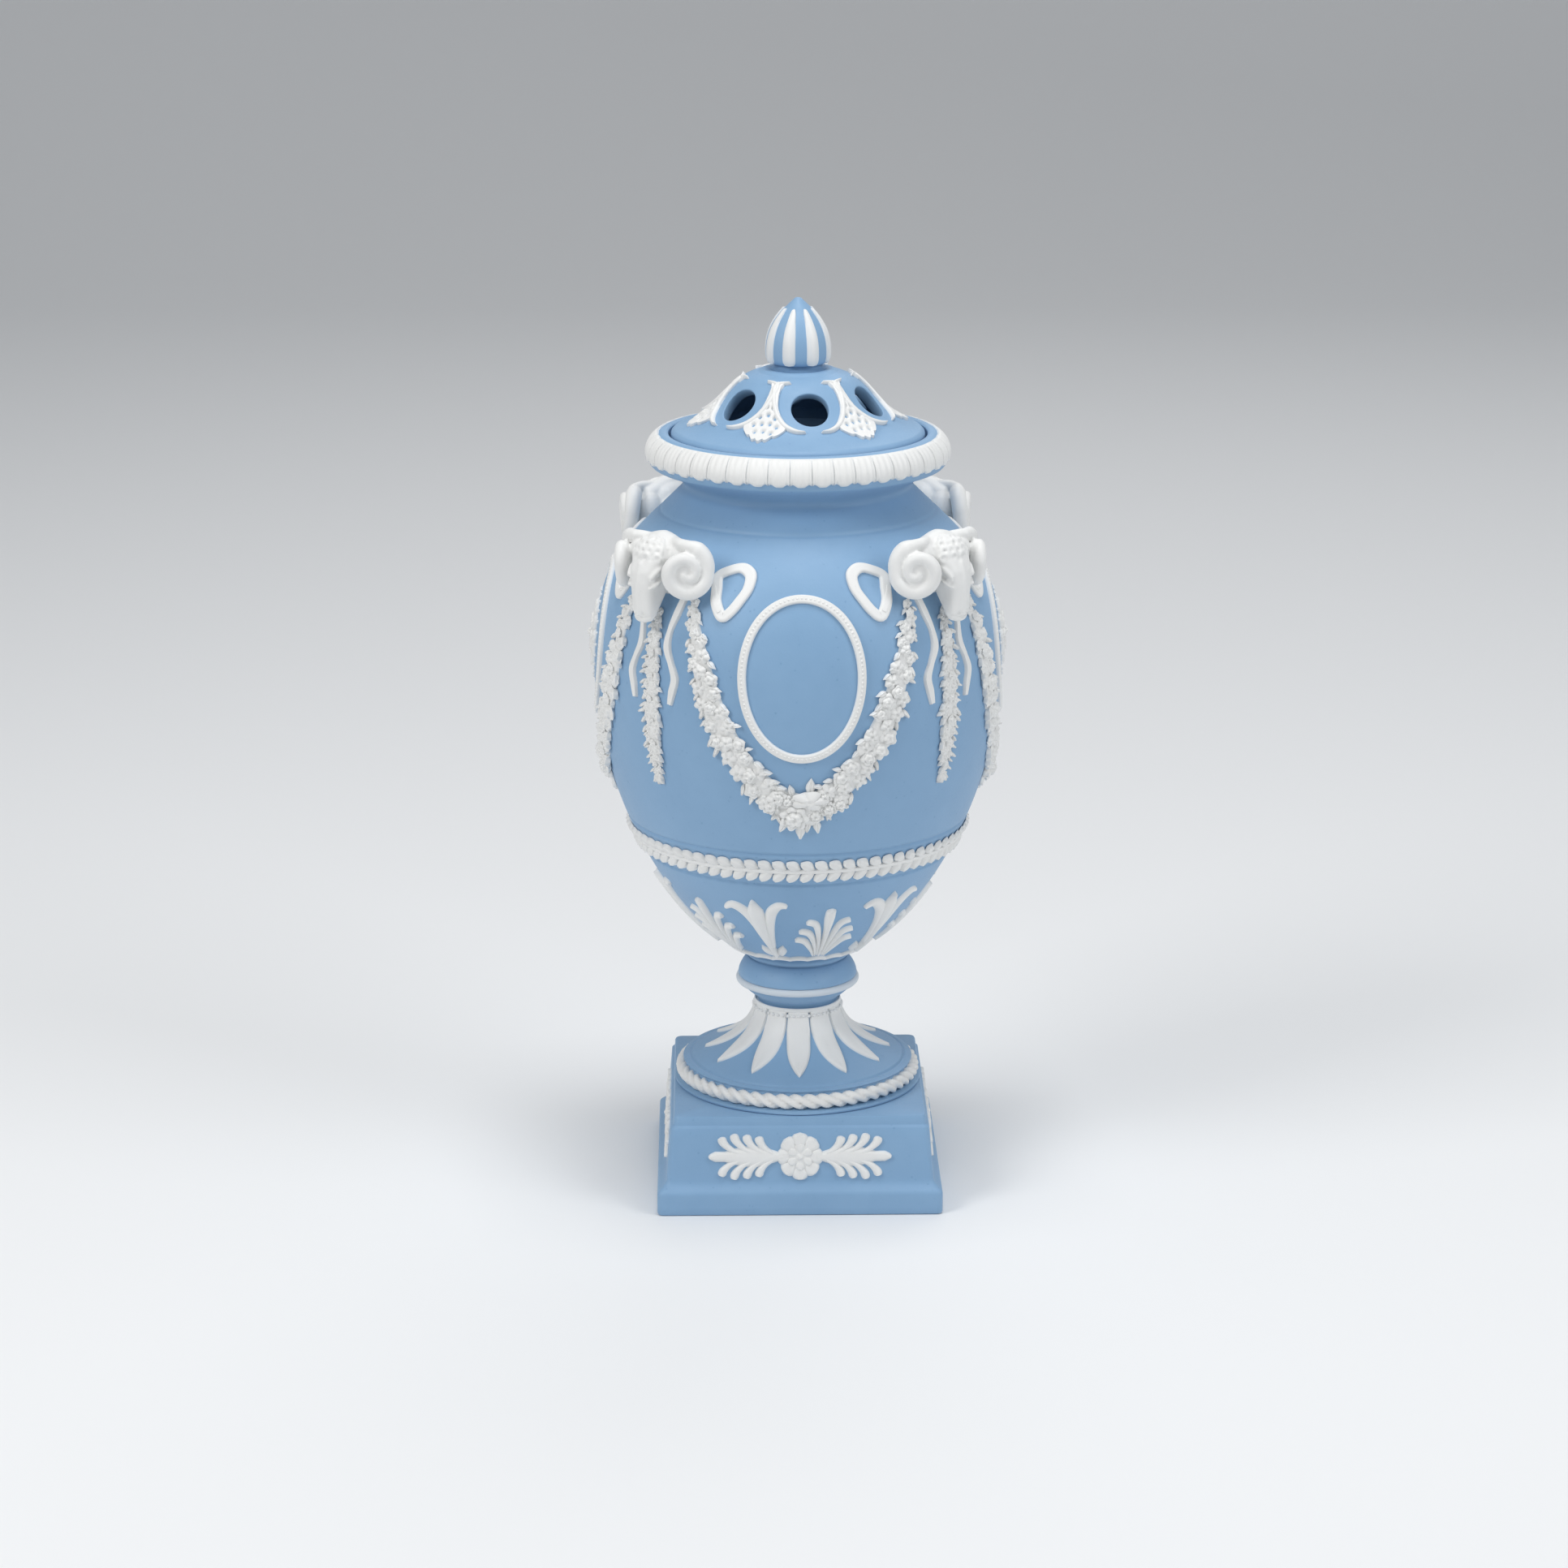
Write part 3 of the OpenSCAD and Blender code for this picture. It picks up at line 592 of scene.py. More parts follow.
class Forms:
    """Stamps that several pieces share, each with its root at the origin and its tip up."""

    @staticmethod
    def leaf(length: float, width: float, lift: float, full: float = 0.45, blunt: float = 1.0, rib: float = 0.35,
             across: int = 6, along: int = 8) -> Stamp:
        """Models a leaf or petal.

        Args:
            length, width, lift: Sizes along, across and out.
            full: Share of the length at which it is widest.
            blunt: 1 for a pointed end, less for a rounder one.
            rib: Depth of the groove along the middle as a share of the lift.
            across, along: Grid steps.

        Returns:
            The leaf.
        """
        power = math.log(0.5) / math.log(full)

        def shape(u: Array, v: Array) -> Tuple[Array, Array, Array]:
            """Gives the points of the leaf."""
            w = np.maximum(np.sin(math.pi * u**power), 0.0) ** blunt * width / 2
            out = lift * (1 - 0.8 * np.abs(v) ** 2.4) * (0.55 + 0.45 * smooth(u, 0.0, 0.5))
            out -= lift * rib * np.exp(-((v / 0.22) ** 2)) * smooth(u, 0.0, 0.2)
            return v * w, u * length, out

        return Bench.sheet(across, along, shape)

    @staticmethod
    def stroke(path: Sequence[Sequence[float]], widths: Sequence[float], lift: float, across: int = 6,
               along: int = 24, hollow: float = 0.0, edge: float = 3.0, ends: float = 0.0) -> Stamp:
        """Models a raised band along a local path.

        Args:
            path: Points that the middle passes.
            widths: Half widths at even steps.
            lift: Height of the band.
            across, along: Grid steps.
            hollow: Depth of the middle below the edges as a share of the lift.
            edge: Higher for squarer edges.
            ends: Share of the length over which the ends are rounded off.

        Returns:
            The band.
        """

        def shape(u: Array, v: Array) -> Tuple[Array, Array, Array]:
            """Gives the points of the band."""
            mid, way = spread(path, u), direction(path, u)
            w = np.interp(u, np.linspace(0, 1, len(widths)), widths)
            if ends > 0:
                near = np.clip(np.maximum(ends - u, u - 1 + ends) / ends, 0, 1)
                w = w * np.sqrt(np.clip(1 - near**2, 0.02, 1))
            out = lift * (1 - np.abs(v) ** edge * 0.7) - lift * hollow * (1 - v * v) ** 2
            return mid[:, 0] + way[:, 1] * v * w, mid[:, 1] - way[:, 0] * v * w, out

        return Bench.sheet(across, along, shape)

    @staticmethod
    def hoop(path: Callable[[Array], Tuple[Array, Array]], width: float, lift: float, around: int, sides: int = 12,
             hollow: float = 0.0) -> Stamp:
        """Models a closed raised band.

        Args:
            path: Function from 0 to one turn to the middle of the band.
            width: Half width.
            lift: Height of the band.
            around, sides: Steps along and round the band.
            hollow: Depth of the middle below the edges as a share of the lift.

        Returns:
            The band.
        """

        def shape(turn: Array, sec: Array) -> Tuple[Array, Array, Array]:
            """Gives the points of the band."""
            x, y = path(turn)
            (xa, ya), (xb, yb) = path(turn - 0.02), path(turn + 0.02)
            n = np.maximum(np.hypot(xb - xa, yb - ya), 1e-9)
            v = np.cos(sec)
            v = np.sign(v) * np.abs(v) ** 0.7
            top = lift * np.abs(np.sin(sec)) ** 0.6 - lift * hollow * (1 - v * v) ** 2
            out = np.where(np.sin(sec) > 0, top, -BURIED)
            return x + (yb - ya) / n * v * width, y - (xb - xa) / n * v * width, out

        return Bench.ring(around, sides, shape)

    @staticmethod
    def rose(radius: float, lift: float, lobes: int, winds: float, eye: float = 0.0, cup: float = 0.0,
             segments: int = 20, rings: int = 14) -> Stamp:
        """Models a full rose with wound petals, or an open blossom.

        Args:
            radius, lift: Sizes in the plane and out.
            lobes: Lobes of the outline.
            winds: Petals passed from the middle to the edge, none for an open blossom.
            eye: Depth of the hollow in the middle as a share of the lift.
            cup: Depth of the ring between the heart and the outer petals as a share of the lift.
            segments, rings: Steps round and from the middle.

        Returns:
            The rose, closed below.
        """
        obj, polar, ang = Bench.globe(segments, rings)
        rho = np.clip(polar / 0.8, 0, 1)
        wind = (winds * rho - ang / math.tau) % 1.0
        reach = radius * rho * (1 + 0.12 * np.cos(lobes * ang) * rho)
        swirl = 0.2 * (wind - 0.6) * smooth(rho, 0.04, 0.2) * (1 - 0.5 * rho) if winds > 0 else 0.0
        crease = 0.3 * (1 - np.abs(np.cos(lobes * ang / 2))) ** 3 * smooth(rho, 0.2, 0.6)
        ring = cup * np.exp(-(((rho - 0.62) / 0.1) ** 2))
        out = lift * (1 - 0.7 * rho**2 + swirl - crease - ring - eye * np.exp(-((rho / 0.2) ** 2)))
        under = polar > 0.82
        reach = np.where(under, radius * (1 - polar) / 0.18 * 0.9, reach)
        out = np.where(under, -0.2 * lift, out)
        return Bench.take(Bench.reshaped(obj, np.stack([reach * np.cos(ang), reach * np.sin(ang), out], axis=1)))


def inset(profile: Array, depth: float) -> Array:
    """Gives a profile moved inwards, square to itself."""
    d = np.gradient(profile, axis=0)
    d /= np.linalg.norm(d, axis=1)[:, None]
    return profile + depth * np.stack([-d[:, 1], d[:, 0]], axis=1)


def grooved(profile: Array, heights: Sequence[float], depth: float, width: float) -> Array:
    """Cuts turned grooves into a profile.

    Args:
        profile: Points of radius and height, from low to high.
        heights: Heights of the grooves.
        depth, width: Size of a groove.

    Returns:
        The profile with finer points at the grooves.
    """
    fine = np.concatenate([z + width * np.linspace(-2.5, 2.5, 15) for z in heights])
    within = fine[(fine > profile[0, 1]) & (fine < profile[-1, 1])]
    z = np.unique(np.round(np.concatenate([profile[:, 1], within]), 4))
    p = np.stack([np.interp(z, profile[:, 1], profile[:, 0]), z], axis=1)
    cut = sum(np.exp(-(((z - g) / width) ** 2)) for g in heights)
    return inset(p, 1.0) * cut[:, None] * depth + p * (1 - cut[:, None] * depth)


def dress(obj: bpy.types.Object, material: bpy.types.Material, body: str, slot: str, *nodes: str) -> bpy.types.Object:
    """Gives a piece its finish and ties it to the frame.

    Args:
        obj: The piece.
        material: Its finish.
        body: Body that it moves with.
        slot: Not used.
        nodes: CAD nodes that it stands for.

    Returns:
        The piece.
    """
    obj.data.materials.clear()
    obj.data.materials.append(material)
    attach(obj, body)
    if nodes:
        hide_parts(*nodes)
    LOG.info("piece %s: %d faces", obj.name, len(obj.data.polygons))
    return obj


@dataclass
class Wares:
    """The two stonewares of the vase."""

    blue: bpy.types.Material
    white: bpy.types.Material

    def body(self, obj: bpy.types.Object, body: str, *nodes: str) -> bpy.types.Object:
        """Dresses a piece in the blue ware."""
        return dress(obj, self.blue, body, "blue_stoneware", *nodes)

    def relief(self, obj: bpy.types.Object, body: str, *nodes: str) -> bpy.types.Object:
        """Dresses a piece in the white ware."""
        return dress(obj, self.white, body, "white_stoneware", *nodes)

    def copies(self, places: Iterable[Enum], name: str, node: str, face: Surface, stamps: Sequence[Stamp],
               up: float) -> None:
        """Lays the same white stamps at several sides or corners, as one piece for each.

        Args:
            places: The sides or corners.
            name: Start of the names of the pieces.
            node: Start of the names of the CAD nodes that they stand for.
            face: Surface that they lie on.
            stamps: What is laid at each place.
            up: Place of the stamps' origin along the surface.
        """
        for place in places:
            piece = Relief(f"{name}_{place.name.lower()}")
            for stamp in stamps:
                piece.lay(face, stamp, place.value, up)
            self.relief(piece.build(), "vase", f"{node}_{place.name.lower()}")


@dataclass
class Plinth:
    """Square hollow plinth with a leaf spray on each face."""

    wares: Wares
    slab: float = 47.5
    slab_top: float = 10.4
    cove_top: float = 11.4
    foot: float = 44.5
    top: float = 43.0
    block_top: float = 29.5
    cap: float = 42.0
    height: float = 33.1
    hollow: float = 36.0
    roof: float = 6.0
    bore: float = 3.6
    corner_steps: int = 6
    side_steps: int = 8
    spray_rise: float = 9.2
    petals: int = 8
    inner_petals: int = 6

    def build(self) -> None:
        """Builds the plinth and its four sprays."""
        self.build_block()
        self.build_sprays()

    def build_block(self) -> None:
        """Builds the block from rounded square rings, hollow from below."""
        under = self.height - self.roof
        rows = [(self.bore, under, self.bore), (self.hollow - 2, under, 3.0), (self.hollow, under - 1.5, 2.0),
                (self.hollow, 0.4, 2.0), (self.hollow + 0.4, 0.0, 2.0), (self.slab - 0.9, 0.0, 1.4),
                (self.slab - 0.3, 0.25, 1.7), (self.slab, 0.9, 1.9)]
        rows += [(self.slab, z, 1.9) for z in (3.0, 5.5)]
        cove = bezier((self.slab, 7.0), (self.slab - 0.1, 8.9), (self.foot + 0.5, 8.9), (self.foot, self.cove_top), 9)
        rows += [(w, z, 1.9) for w, z in cove]
        lean, rise = self.top - self.foot, self.block_top - 0.5 - self.cove_top
        rows += [(self.foot + lean * t, self.cove_top + rise * t, 1.8) for t in np.linspace(0.12, 1.0, 6)]
        rows += [(self.top - 0.25, self.block_top - 0.12, 1.8), (self.cap + 0.45, self.block_top + 0.1, 1.8),
                 (self.cap + 0.1, self.block_top + 0.5, 1.9), (self.cap, self.block_top + 1.2, 2.0),
                 (self.cap - 0.05, self.height - 0.9, 2.2), (self.cap - 0.4, self.height - 0.25, 2.2),
                 (self.cap - 1.1, self.height, 2.0), (self.bore, self.height, self.bore),
                 (self.bore, under, self.bore)]
        table = np.array(rows)
        corner, straight = self.corner_steps, self.side_steps
        quarter = corner + straight

        def shape(u: Array, v: Array) -> Tuple[Array, Array, Array]:
            """Gives points on the rounded square rings."""
            half, z, c = (np.interp(v, np.linspace(0, 1, len(table)), col) for col in table.T)
            k = np.round(u * 4 * quarter).astype(int)
            q, i = (k // quarter) % 4, k % quarter
            arc = np.radians(90.0 * np.minimum(i, corner) / corner)
            x, y = half - c + c * np.cos(arc), half - c + c * np.sin(arc)
            run = np.clip((i - corner) / straight, 0, 1)
            x = x - run * 2 * (half - c)
            a = q * math.pi / 2
            return x * np.cos(a) - y * np.sin(a), x * np.sin(a) + y * np.cos(a), z

        block = Relief("plinth_block").add(Bench.wrapped(4 * quarter, len(table) - 1, shape))
        self.wares.body(block.build(32.0), "vase", "plinth")

    def build_sprays(self) -> None:
        """Builds a rosette with a palmette to each side, for each face."""
        face = FlatFace(self.foot, self.top, self.slab_top, self.block_top)
        up = self.slab_top + self.spray_rise
        petal = Forms.leaf(5.6, 5.3, 1.2, full=0.68, blunt=0.55, rib=0.22, across=8, along=10)
        small = Forms.leaf(3.2, 3.0, 0.75, full=0.62, blunt=0.55, rib=0.2, across=6, along=8).moved(0, 0, 0.7)
        boss = Bench.ball(16, 12, 1.35, 1.35, 1.8)
        disc = Bench.ball(24, 10, 4.8, 4.8, 1.15)
        middle = Forms.stroke([(5.2, 0), (11, 0), (18, 0), (25, 0), (30.6, 0)],
                              [0.9, 1.9, 3.1, 3.9, 3.7, 3.0, 1.9, 1.9, 0.5], 1.15, along=32, ends=0.05)
        roots, tips, rises = (8.6, 11.6, 15.2, 19.4), (13.9, 18.0, 22.2, 26.3), (7.0, 7.6, 7.9, 6.8)
        fingers = [Forms.stroke([(r, 1.0), (r + (t - r) * 0.5, h * 0.36), (r + (t - r) * 0.86, h * 0.68), (t, h)],
                                [0.7, 0.95, 1.2, 1.6, 1.65], 1.1, across=6, along=16, ends=0.22)
                   for r, t, h in zip(roots, tips, rises)]
        stamps = [petal.moved(0, 1.5).turned(turn).sized(1.1, 1.17, 1) for turn in turns(self.petals)]
        stamps += [small.moved(0, 0.9).turned(turn).sized(1.1, 1.15, 1) for turn in turns(self.inner_petals)]
        stamps += [boss, disc]
        for flip in (1, -1):
            stamps.append(middle.sized(flip, 1, 1))
            stamps += [finger.sized(flip, fold, 1) for finger in fingers for fold in (1, -1)]
        self.wares.copies(Quarter, "spray", "plinth_spray", face, stamps, up)


@dataclass
class Socle:
    """Waisted socle with a rope, a sheath of leaves and a ring of beads, and the knop on it."""

    wares: Wares
    base: float = 33.1
    edge: float = 41.6
    waist: float = 13.4
    bore: float = 3.6
    knop_base: float = 61.8
    knop: float = 19.6
    knop_top: float = 77.0
    moulding_rise: float = 6.6
    leaves: int = 12
    leaf_half: float = 4.1
    leaf_z: Tuple[float, float] = (42.9, 61.0)
    rope: float = 2.6
    rope_reach: float = 38.75
    rope_rise: float = 3.95
    strands: int = 54
    strand_steps: int = 12
    beads: int = 52
    bead: float = 0.62
    bead_z: float = 58.6

    def build(self) -> None:
        """Builds the socle, the knop and their relief."""
        curve = bezier((38.8, 40.5), (29.4, 43.6), (14.8, 47.6), (self.waist, 61.2), 40)
        face = TurnedFace(curve)
        curve = grooved(curve, (41.3,), 0.42, 0.16)
        z = self.base
        ring = [(13.9, z), (self.edge - 0.5, z), (self.edge, z + 0.35), (self.edge, z + 0.85),
                (self.edge - 0.4, z + 1.15), (38.6, z + 1.3), (38.2, z + 1.6), (38.2, z + 6.1), (38.0, z + 6.6),
                (38.3, z + 7.0)]
        close = [(self.waist, self.knop_base), (self.bore, self.knop_base), (self.bore, 52.0), (5.0, 50.1)]
        self.wares.body(Bench.spun("socle_turning", np.concatenate([ring, curve, close])), "vase", "socle")
        self.build_knop()
        self.build_rope()
        self.build_sheath(face)

    def build_knop(self) -> None:
        """Builds the knop and the white moulding round it."""
        k = self.knop_base
        under = spread([(self.waist, k), (14.3, k + 1.1), (16.0, k + 2.2), (18.1, k + 4.1), (19.0, k + 5.2)],
                       np.linspace(0, 1, 17))
        over = bezier((self.knop + 0.3, k + 8.0), (self.knop + 0.8, k + 9.8), (self.knop - 1.2, k + 13.0),
                      (16.8, k + 14.4), 14)
        seat = [(16.6, k + 14.2), (16.2, k + 14.6), (16.2, self.knop_top), (self.bore, self.knop_top)]
        profile = np.concatenate([[(self.bore, k)], under, [(19.4, k + 7.8)], over, seat])
        self.wares.body(Bench.spun("knop_turning", profile), "vase", "knop")
        t = np.linspace(0, math.tau, 21)[:-1]
        hoop = np.stack([self.knop + 1.2 * np.cos(t), k + self.moulding_rise + 1.25 * np.sin(t)], axis=1)
        hoop[:, 0] = np.maximum(hoop[:, 0], 19.12)
        self.wares.relief(Bench.spun("knop_moulding", hoop), "vase", "knop_band")

    def build_rope(self) -> None:
        """Builds the twisted rope round the edge of the socle."""

        def shape(turn: Array, sec: Array) -> Tuple[Array, Array, Array]:
            """Gives points of a rope of three strands."""
            groove = np.abs(np.sin((3 * sec + self.strands * turn) / 2)) ** 0.7
            r = self.rope * (0.4 + 0.6 * groove)
            reach = self.rope_reach + r * np.cos(sec)
            return reach * np.sin(turn), -reach * np.cos(turn), self.base + self.rope_rise + r * np.sin(sec)

        rope = Relief("rope_twist").add(Bench.ring(self.strands * self.strand_steps, 24, shape))
        self.wares.relief(rope.build(70.0), "vase", "rope_band")

    def build_sheath(self, face: TurnedFace) -> None:
        """Builds the leaves that wrap the socle and the beads round its top."""
        low, high = (face.up_to(z) for z in self.leaf_z)
        half = math.pi / self.leaves

        def shape(u: Array, v: Array) -> Tuple[Array, Array, Array]:
            """Gives points of one leaf, from its tip up into the sheath."""
            y = u * (high - low)
            free = self.leaf_half * np.sin(np.minimum(u / 0.5, 1.0) * math.pi / 2) ** 0.85 + 0.03
            w = np.minimum(face.radius(low + y) * half * 1.004, free)
            out = 1.0 - (0.5 - 0.42 * smooth(u, 0.5, 0.75)) * np.abs(v) ** 3
            out -= 0.12 * np.exp(-((v / 0.2) ** 2)) * (1 - smooth(u, 0.5, 0.8))
            return v * w, y, out

        leaf = Bench.sheet(14, 30, shape)
        sheath = Relief("socle_sheath").ring(face, [leaf], low, self.leaves)
        self.wares.relief(sheath.build(), "vase", "socle_leaves")
        bead = Bench.ball(8, 6, self.bead, self.bead, 0.6).moved(0, 0, 1.05)
        ring = Relief("socle_beads").ring(face, [bead], face.up_to(self.bead_z), self.beads)
        t = np.linspace(0, math.tau, 13)[:-1]
        collar = np.stack([14.35 + 0.35 * np.cos(t), 60.6 + 0.75 * np.sin(t)], axis=1)
        hoop = Bench.take(Bench.spun("collar", collar, 96))
        ring.add(Stamp(hoop.verts / MM, hoop.faces))
        self.wares.relief(ring.build(80.0), "vase", "socle_bead_ring")


@dataclass
class Vessel:
    """Ovoid vessel with its calyx, laurel band and rim border."""

    wares: Wares
    foot: float = 17.3
    belly: float = 67.5
    neck: float = 38.4
    rim: float = 48.6
    base_z: float = 77.0
    belly_z: float = 178.4
    neck_z: float = 237.4
    crease_z: float = 230.5
    ledge_z: float = 251.6
    rim_z: float = 256.0
    rebate: float = 42.5
    mouth: float = 35.3
    wall: float = 4.5
    floor: float = 7.0
    bore: float = 3.6
    laurel_z: float = 121.9
    laurel_grooves: Tuple[float, float] = (-6.0, 5.7)
    laurel_pairs: int = 76
    rim_leaves: int = 44
    calyx_z: float = 81.4
    calyx_turn: float = -17.0
    scallops: int = 12
    sprig_z: float = 83.0
    sprigs: int = 6
    lower: Array = field(init=False)
    upper: Array = field(init=False)
    rim_curve: Array = field(init=False)
    face: TurnedFace = field(init=False)
    rim_face: TurnedFace = field(init=False)

    def __post_init__(self) -> None:
        """Draws the profiles that carry relief."""
        low_z, n = self.base_z + 2.2, self.neck_z
        self.lower = bezier((self.foot, low_z), (self.foot + 26, low_z + 11), (self.belly, self.belly_z - 42.5),
                            (self.belly, self.belly_z), 64)
        self.upper = bezier((self.belly, self.belly_z), (self.belly, self.belly_z + 35), (self.neck + 17.4, n - 17.5),
                            (self.neck, n), 48)
        self.face = TurnedFace(np.concatenate([self.lower, self.upper[1:]]))
        self.rim_curve = bezier((self.rim, n + 9), (self.rim + 1.7, n + 12), (self.rim - 0.2, self.rim_z - 1.6),
                                (self.rebate + 2.2, self.rim_z), 24)
        self.rim_face = TurnedFace(self.rim_curve)

    def build(self) -> None:
        """Builds the vessel and the relief that runs round it."""
        self.build_body()
        self.build_rim_border()
        self.build_calyx()
        self.build_laurel()

    def build_body(self) -> None:
        """Spins the vessel with its neck, rim, rebate and inside."""
        b, n, top = self.base_z, self.neck_z, self.rim_z
        throat = bezier((self.neck, n), (self.neck - 2.6, n + 2.8), (self.rim - 7, n + 5.6),
                        (self.rim - 1.2, n + 7.6), 16)
        inner_up = inset(self.upper, self.wall)[::-2]
        inner_low = inset(self.lower, self.wall)[::-2]
        outside = np.concatenate([
            [(self.bore, b), (self.foot - 0.6, b), (self.foot + 0.1, b + 0.3), (self.foot + 0.4, b + 0.9),
             (self.foot + 0.3, b + 1.6), (self.foot + 0.05, b + 2.0)],
            grooved(self.lower, [self.laurel_z + off for off in self.laurel_grooves], 0.55, 0.55),
            grooved(self.upper, (self.crease_z,), 0.28, 0.5)[1:], throat[1:],
            [(self.rim - 0.6, n + 7.9), (self.rim - 0.1, n + 8.4)], self.rim_curve,
            [(self.rebate + 1.0, top), (self.rebate + 0.3, top - 0.15), (self.rebate, top - 0.5),
             (self.rebate, self.ledge_z + 0.3), (self.rebate - 0.3, self.ledge_z), (self.mouth + 0.6, self.ledge_z),
             (self.mouth, self.ledge_z - 0.6), (self.mouth, n - 1.5)]])
        inside = np.concatenate([inner_up[inner_up[:, 1] < n - 4], inner_low[inner_low[:, 1] > b + self.floor + 1.5],
                                 [(self.foot - 2, b + self.floor), (self.bore, b + self.floor)]])
        self.wares.body(Bench.spun("vessel_turning", np.concatenate([outside, inside])), "vase", "vessel")

    def build_rim_border(self) -> None:
        """Builds the ribbed tongue leaves that hang over the rim."""
        low, high = self.rim_face.up_to(self.neck_z + 9.3), self.rim_face.up_to(self.rim_z - 0.35)
        half = math.pi / self.rim_leaves

        def shape(u: Array, v: Array) -> Tuple[Array, Array, Array]:
            """Gives points of one tongue with upright ribs and half a dart to each side."""
            off = np.abs(v)
            foot = 1.0 * smooth(off, 0.25, 0.72) - 0.7 * smooth(off, 0.8, 1.0)
            head = 0.3 * smooth(off, 0.6, 0.8)
            y = foot + u * (high - low - foot - head)
            r = self.rim_face.radius(low + y)
            rib = 0.11 * np.cos(v * math.pi * 3.0) * (1 - smooth(u, 0.72, 0.95))
            slit = 0.26 * np.exp(-(((off - 0.76) / 0.08) ** 2)) * (1 - 0.75 * smooth(u, 0.35, 0.9))
            out = 0.64 + rib + 0.34 * np.sin(math.pi * np.clip(u * 1.15, 0, 1)) - slit
            return v * r * half * 1.01, y, out

        leaf = Bench.sheet(24, 12, shape, sink=BURIED)

        def band(turn: Array, sec: Array) -> Tuple[Array, Array, Array]:
            """Gives points of the plain band behind the leaves."""
            y = 1.5 + (high - low - 1.8) * (0.5 + 0.5 * np.cos(sec))
            return turn * self.rim_face.radius(low + y), y, np.where(np.sin(sec) > 1e-6, 0.42, -BURIED)

        border = Relief("rim_leaves").lay(self.rim_face, Bench.ring(self.rim_leaves * 6, 20, band), 0.0, low)
        border.ring(self.rim_face, [leaf], low, self.rim_leaves)
        self.wares.relief(border.build(), "vase", "rim_border")

    def build_calyx(self) -> None:
        """Builds the scalloped edging and the lilies and palmettes that rise from it."""
        root = self.face.up_to(self.calyx_z)

        def edging(turn: Array, sec: Array) -> Tuple[Array, Array, Array]:
            """Gives points of the scalloped edging."""
            v = np.cos(sec)
            y = 1.7 + 1.5 * np.abs(np.cos(turn * self.scallops)) ** 0.8 + v * 1.15 - 1.0
            out = np.where(np.sin(sec) > 0, 1.15 * np.abs(np.sin(sec)) ** 0.6, -0.25)
            return turn * self.face.radius(root + y), y, out

        edge = Relief("calyx_edging").lay(self.face, Bench.ring(360, 12, edging), 0.0, root)
        self.wares.relief(edge.build(), "vase", "calyx_edge")
        base = self.face.up_to(self.sprig_z)
        spear = Forms.stroke([(0, 2), (0, 10), (-0.2, 18), (-0.35, 26), (-0.5, 31), (-0.5, 35.9)],
                             [1.0, 1.0, 1.9, 3.0, 2.9, 0.25], 1.7, across=8, along=30, hollow=-0.12, edge=1.8)
        left = Forms.stroke([(-0.6, 8), (-1.3, 17), (-2.3, 25), (-4.6, 30.6), (-8.0, 33.2), (-11.2, 31.6)],
                            [0.5, 1.2, 2.0, 2.2, 1.9, 0.9], 1.15, across=6, along=26, edge=2.2, ends=0.05)
        right = Forms.stroke([(0.6, 8), (1.8, 17), (3.2, 25), (5.2, 30.2), (8.2, 33.0), (11.0, 32.6)],
                             [0.5, 1.2, 1.9, 2.1, 1.8, 0.8], 1.15, across=6, along=26, edge=2.2, ends=0.05)
        sepal = Forms.leaf(9.5, 3.4, 1.2, full=0.5, along=8)
        lily = [left, right, spear, sepal.turned(18).moved(-0.8, 0.8), sepal.turned(-18).moved(0.8, 0.8)]
        lilies = Relief("calyx_lily_sprigs").ring(self.face, [stamp.turned(5.0) for stamp in lily], base, self.sprigs,
                                                  self.calyx_turn + 2.0)
        self.wares.relief(lilies.build(), "vase", "calyx_lilies")
        middle = Forms.stroke([(0, 3), (0, 12), (0, 20), (0, 26.5), (0, 31.8)], [0.7, 0.8, 1.2, 1.95, 1.8], 1.5,
                              across=6, along=22, edge=2.0, ends=0.1)
        lobes = [Forms.stroke([(x0, 3), (x1, y1 * 0.55), (x2, y1 * 0.92), (x3, y1)], [0.5, 0.75, 1.1, 1.5, 1.4], 1.25,
                              across=6, along=18, edge=2.0, ends=0.13)
                 for x0, x1, x2, x3, y1 in ((0.6, 1.7, 4.0, 7.6, 25.4), (1.1, 2.6, 5.6, 9.3, 20.2),
                                            (1.6, 3.4, 6.4, 9.7, 15.0))]
        fan = [stamp for lobe in lobes for stamp in (lobe, lobe.sized(-1, 1, 1))] + [middle]
        palmettes = Relief("calyx_palmette_fans").ring(self.face, fan, base, self.sprigs, self.calyx_turn + 30.0)
        self.wares.relief(palmettes.build(), "vase", "calyx_palmettes")

    def build_laurel(self) -> None:
        """Builds the band of laurel leaves round the vessel."""
        up = self.face.up_to(self.laurel_z)
        leaf = Forms.leaf(5.9, 3.9, 1.35, full=0.56, blunt=0.75, rib=0.25, across=6, along=8).tipped(6.0)
        pair = [leaf.turned(54).moved(0, 0.4), leaf.turned(126).moved(0, -0.4)]
        band = Relief("laurel_leaves").ring(self.face, pair, up, self.laurel_pairs)

        def stem(turn: Array, sec: Array) -> Tuple[Array, Array, Array]:
            """Gives points of the stem along the band."""
            y = 0.9 * np.cos(sec)
            out = np.where(np.sin(sec) > 0, 1.15 * np.abs(np.sin(sec)) ** 0.6, -BURIED)
            return turn * self.face.radius(up + y), y, out

        band.lay(self.face, Bench.ring(198, 8, stem), 0.0, up)
        self.wares.relief(band.build(), "vase", "laurel_band")


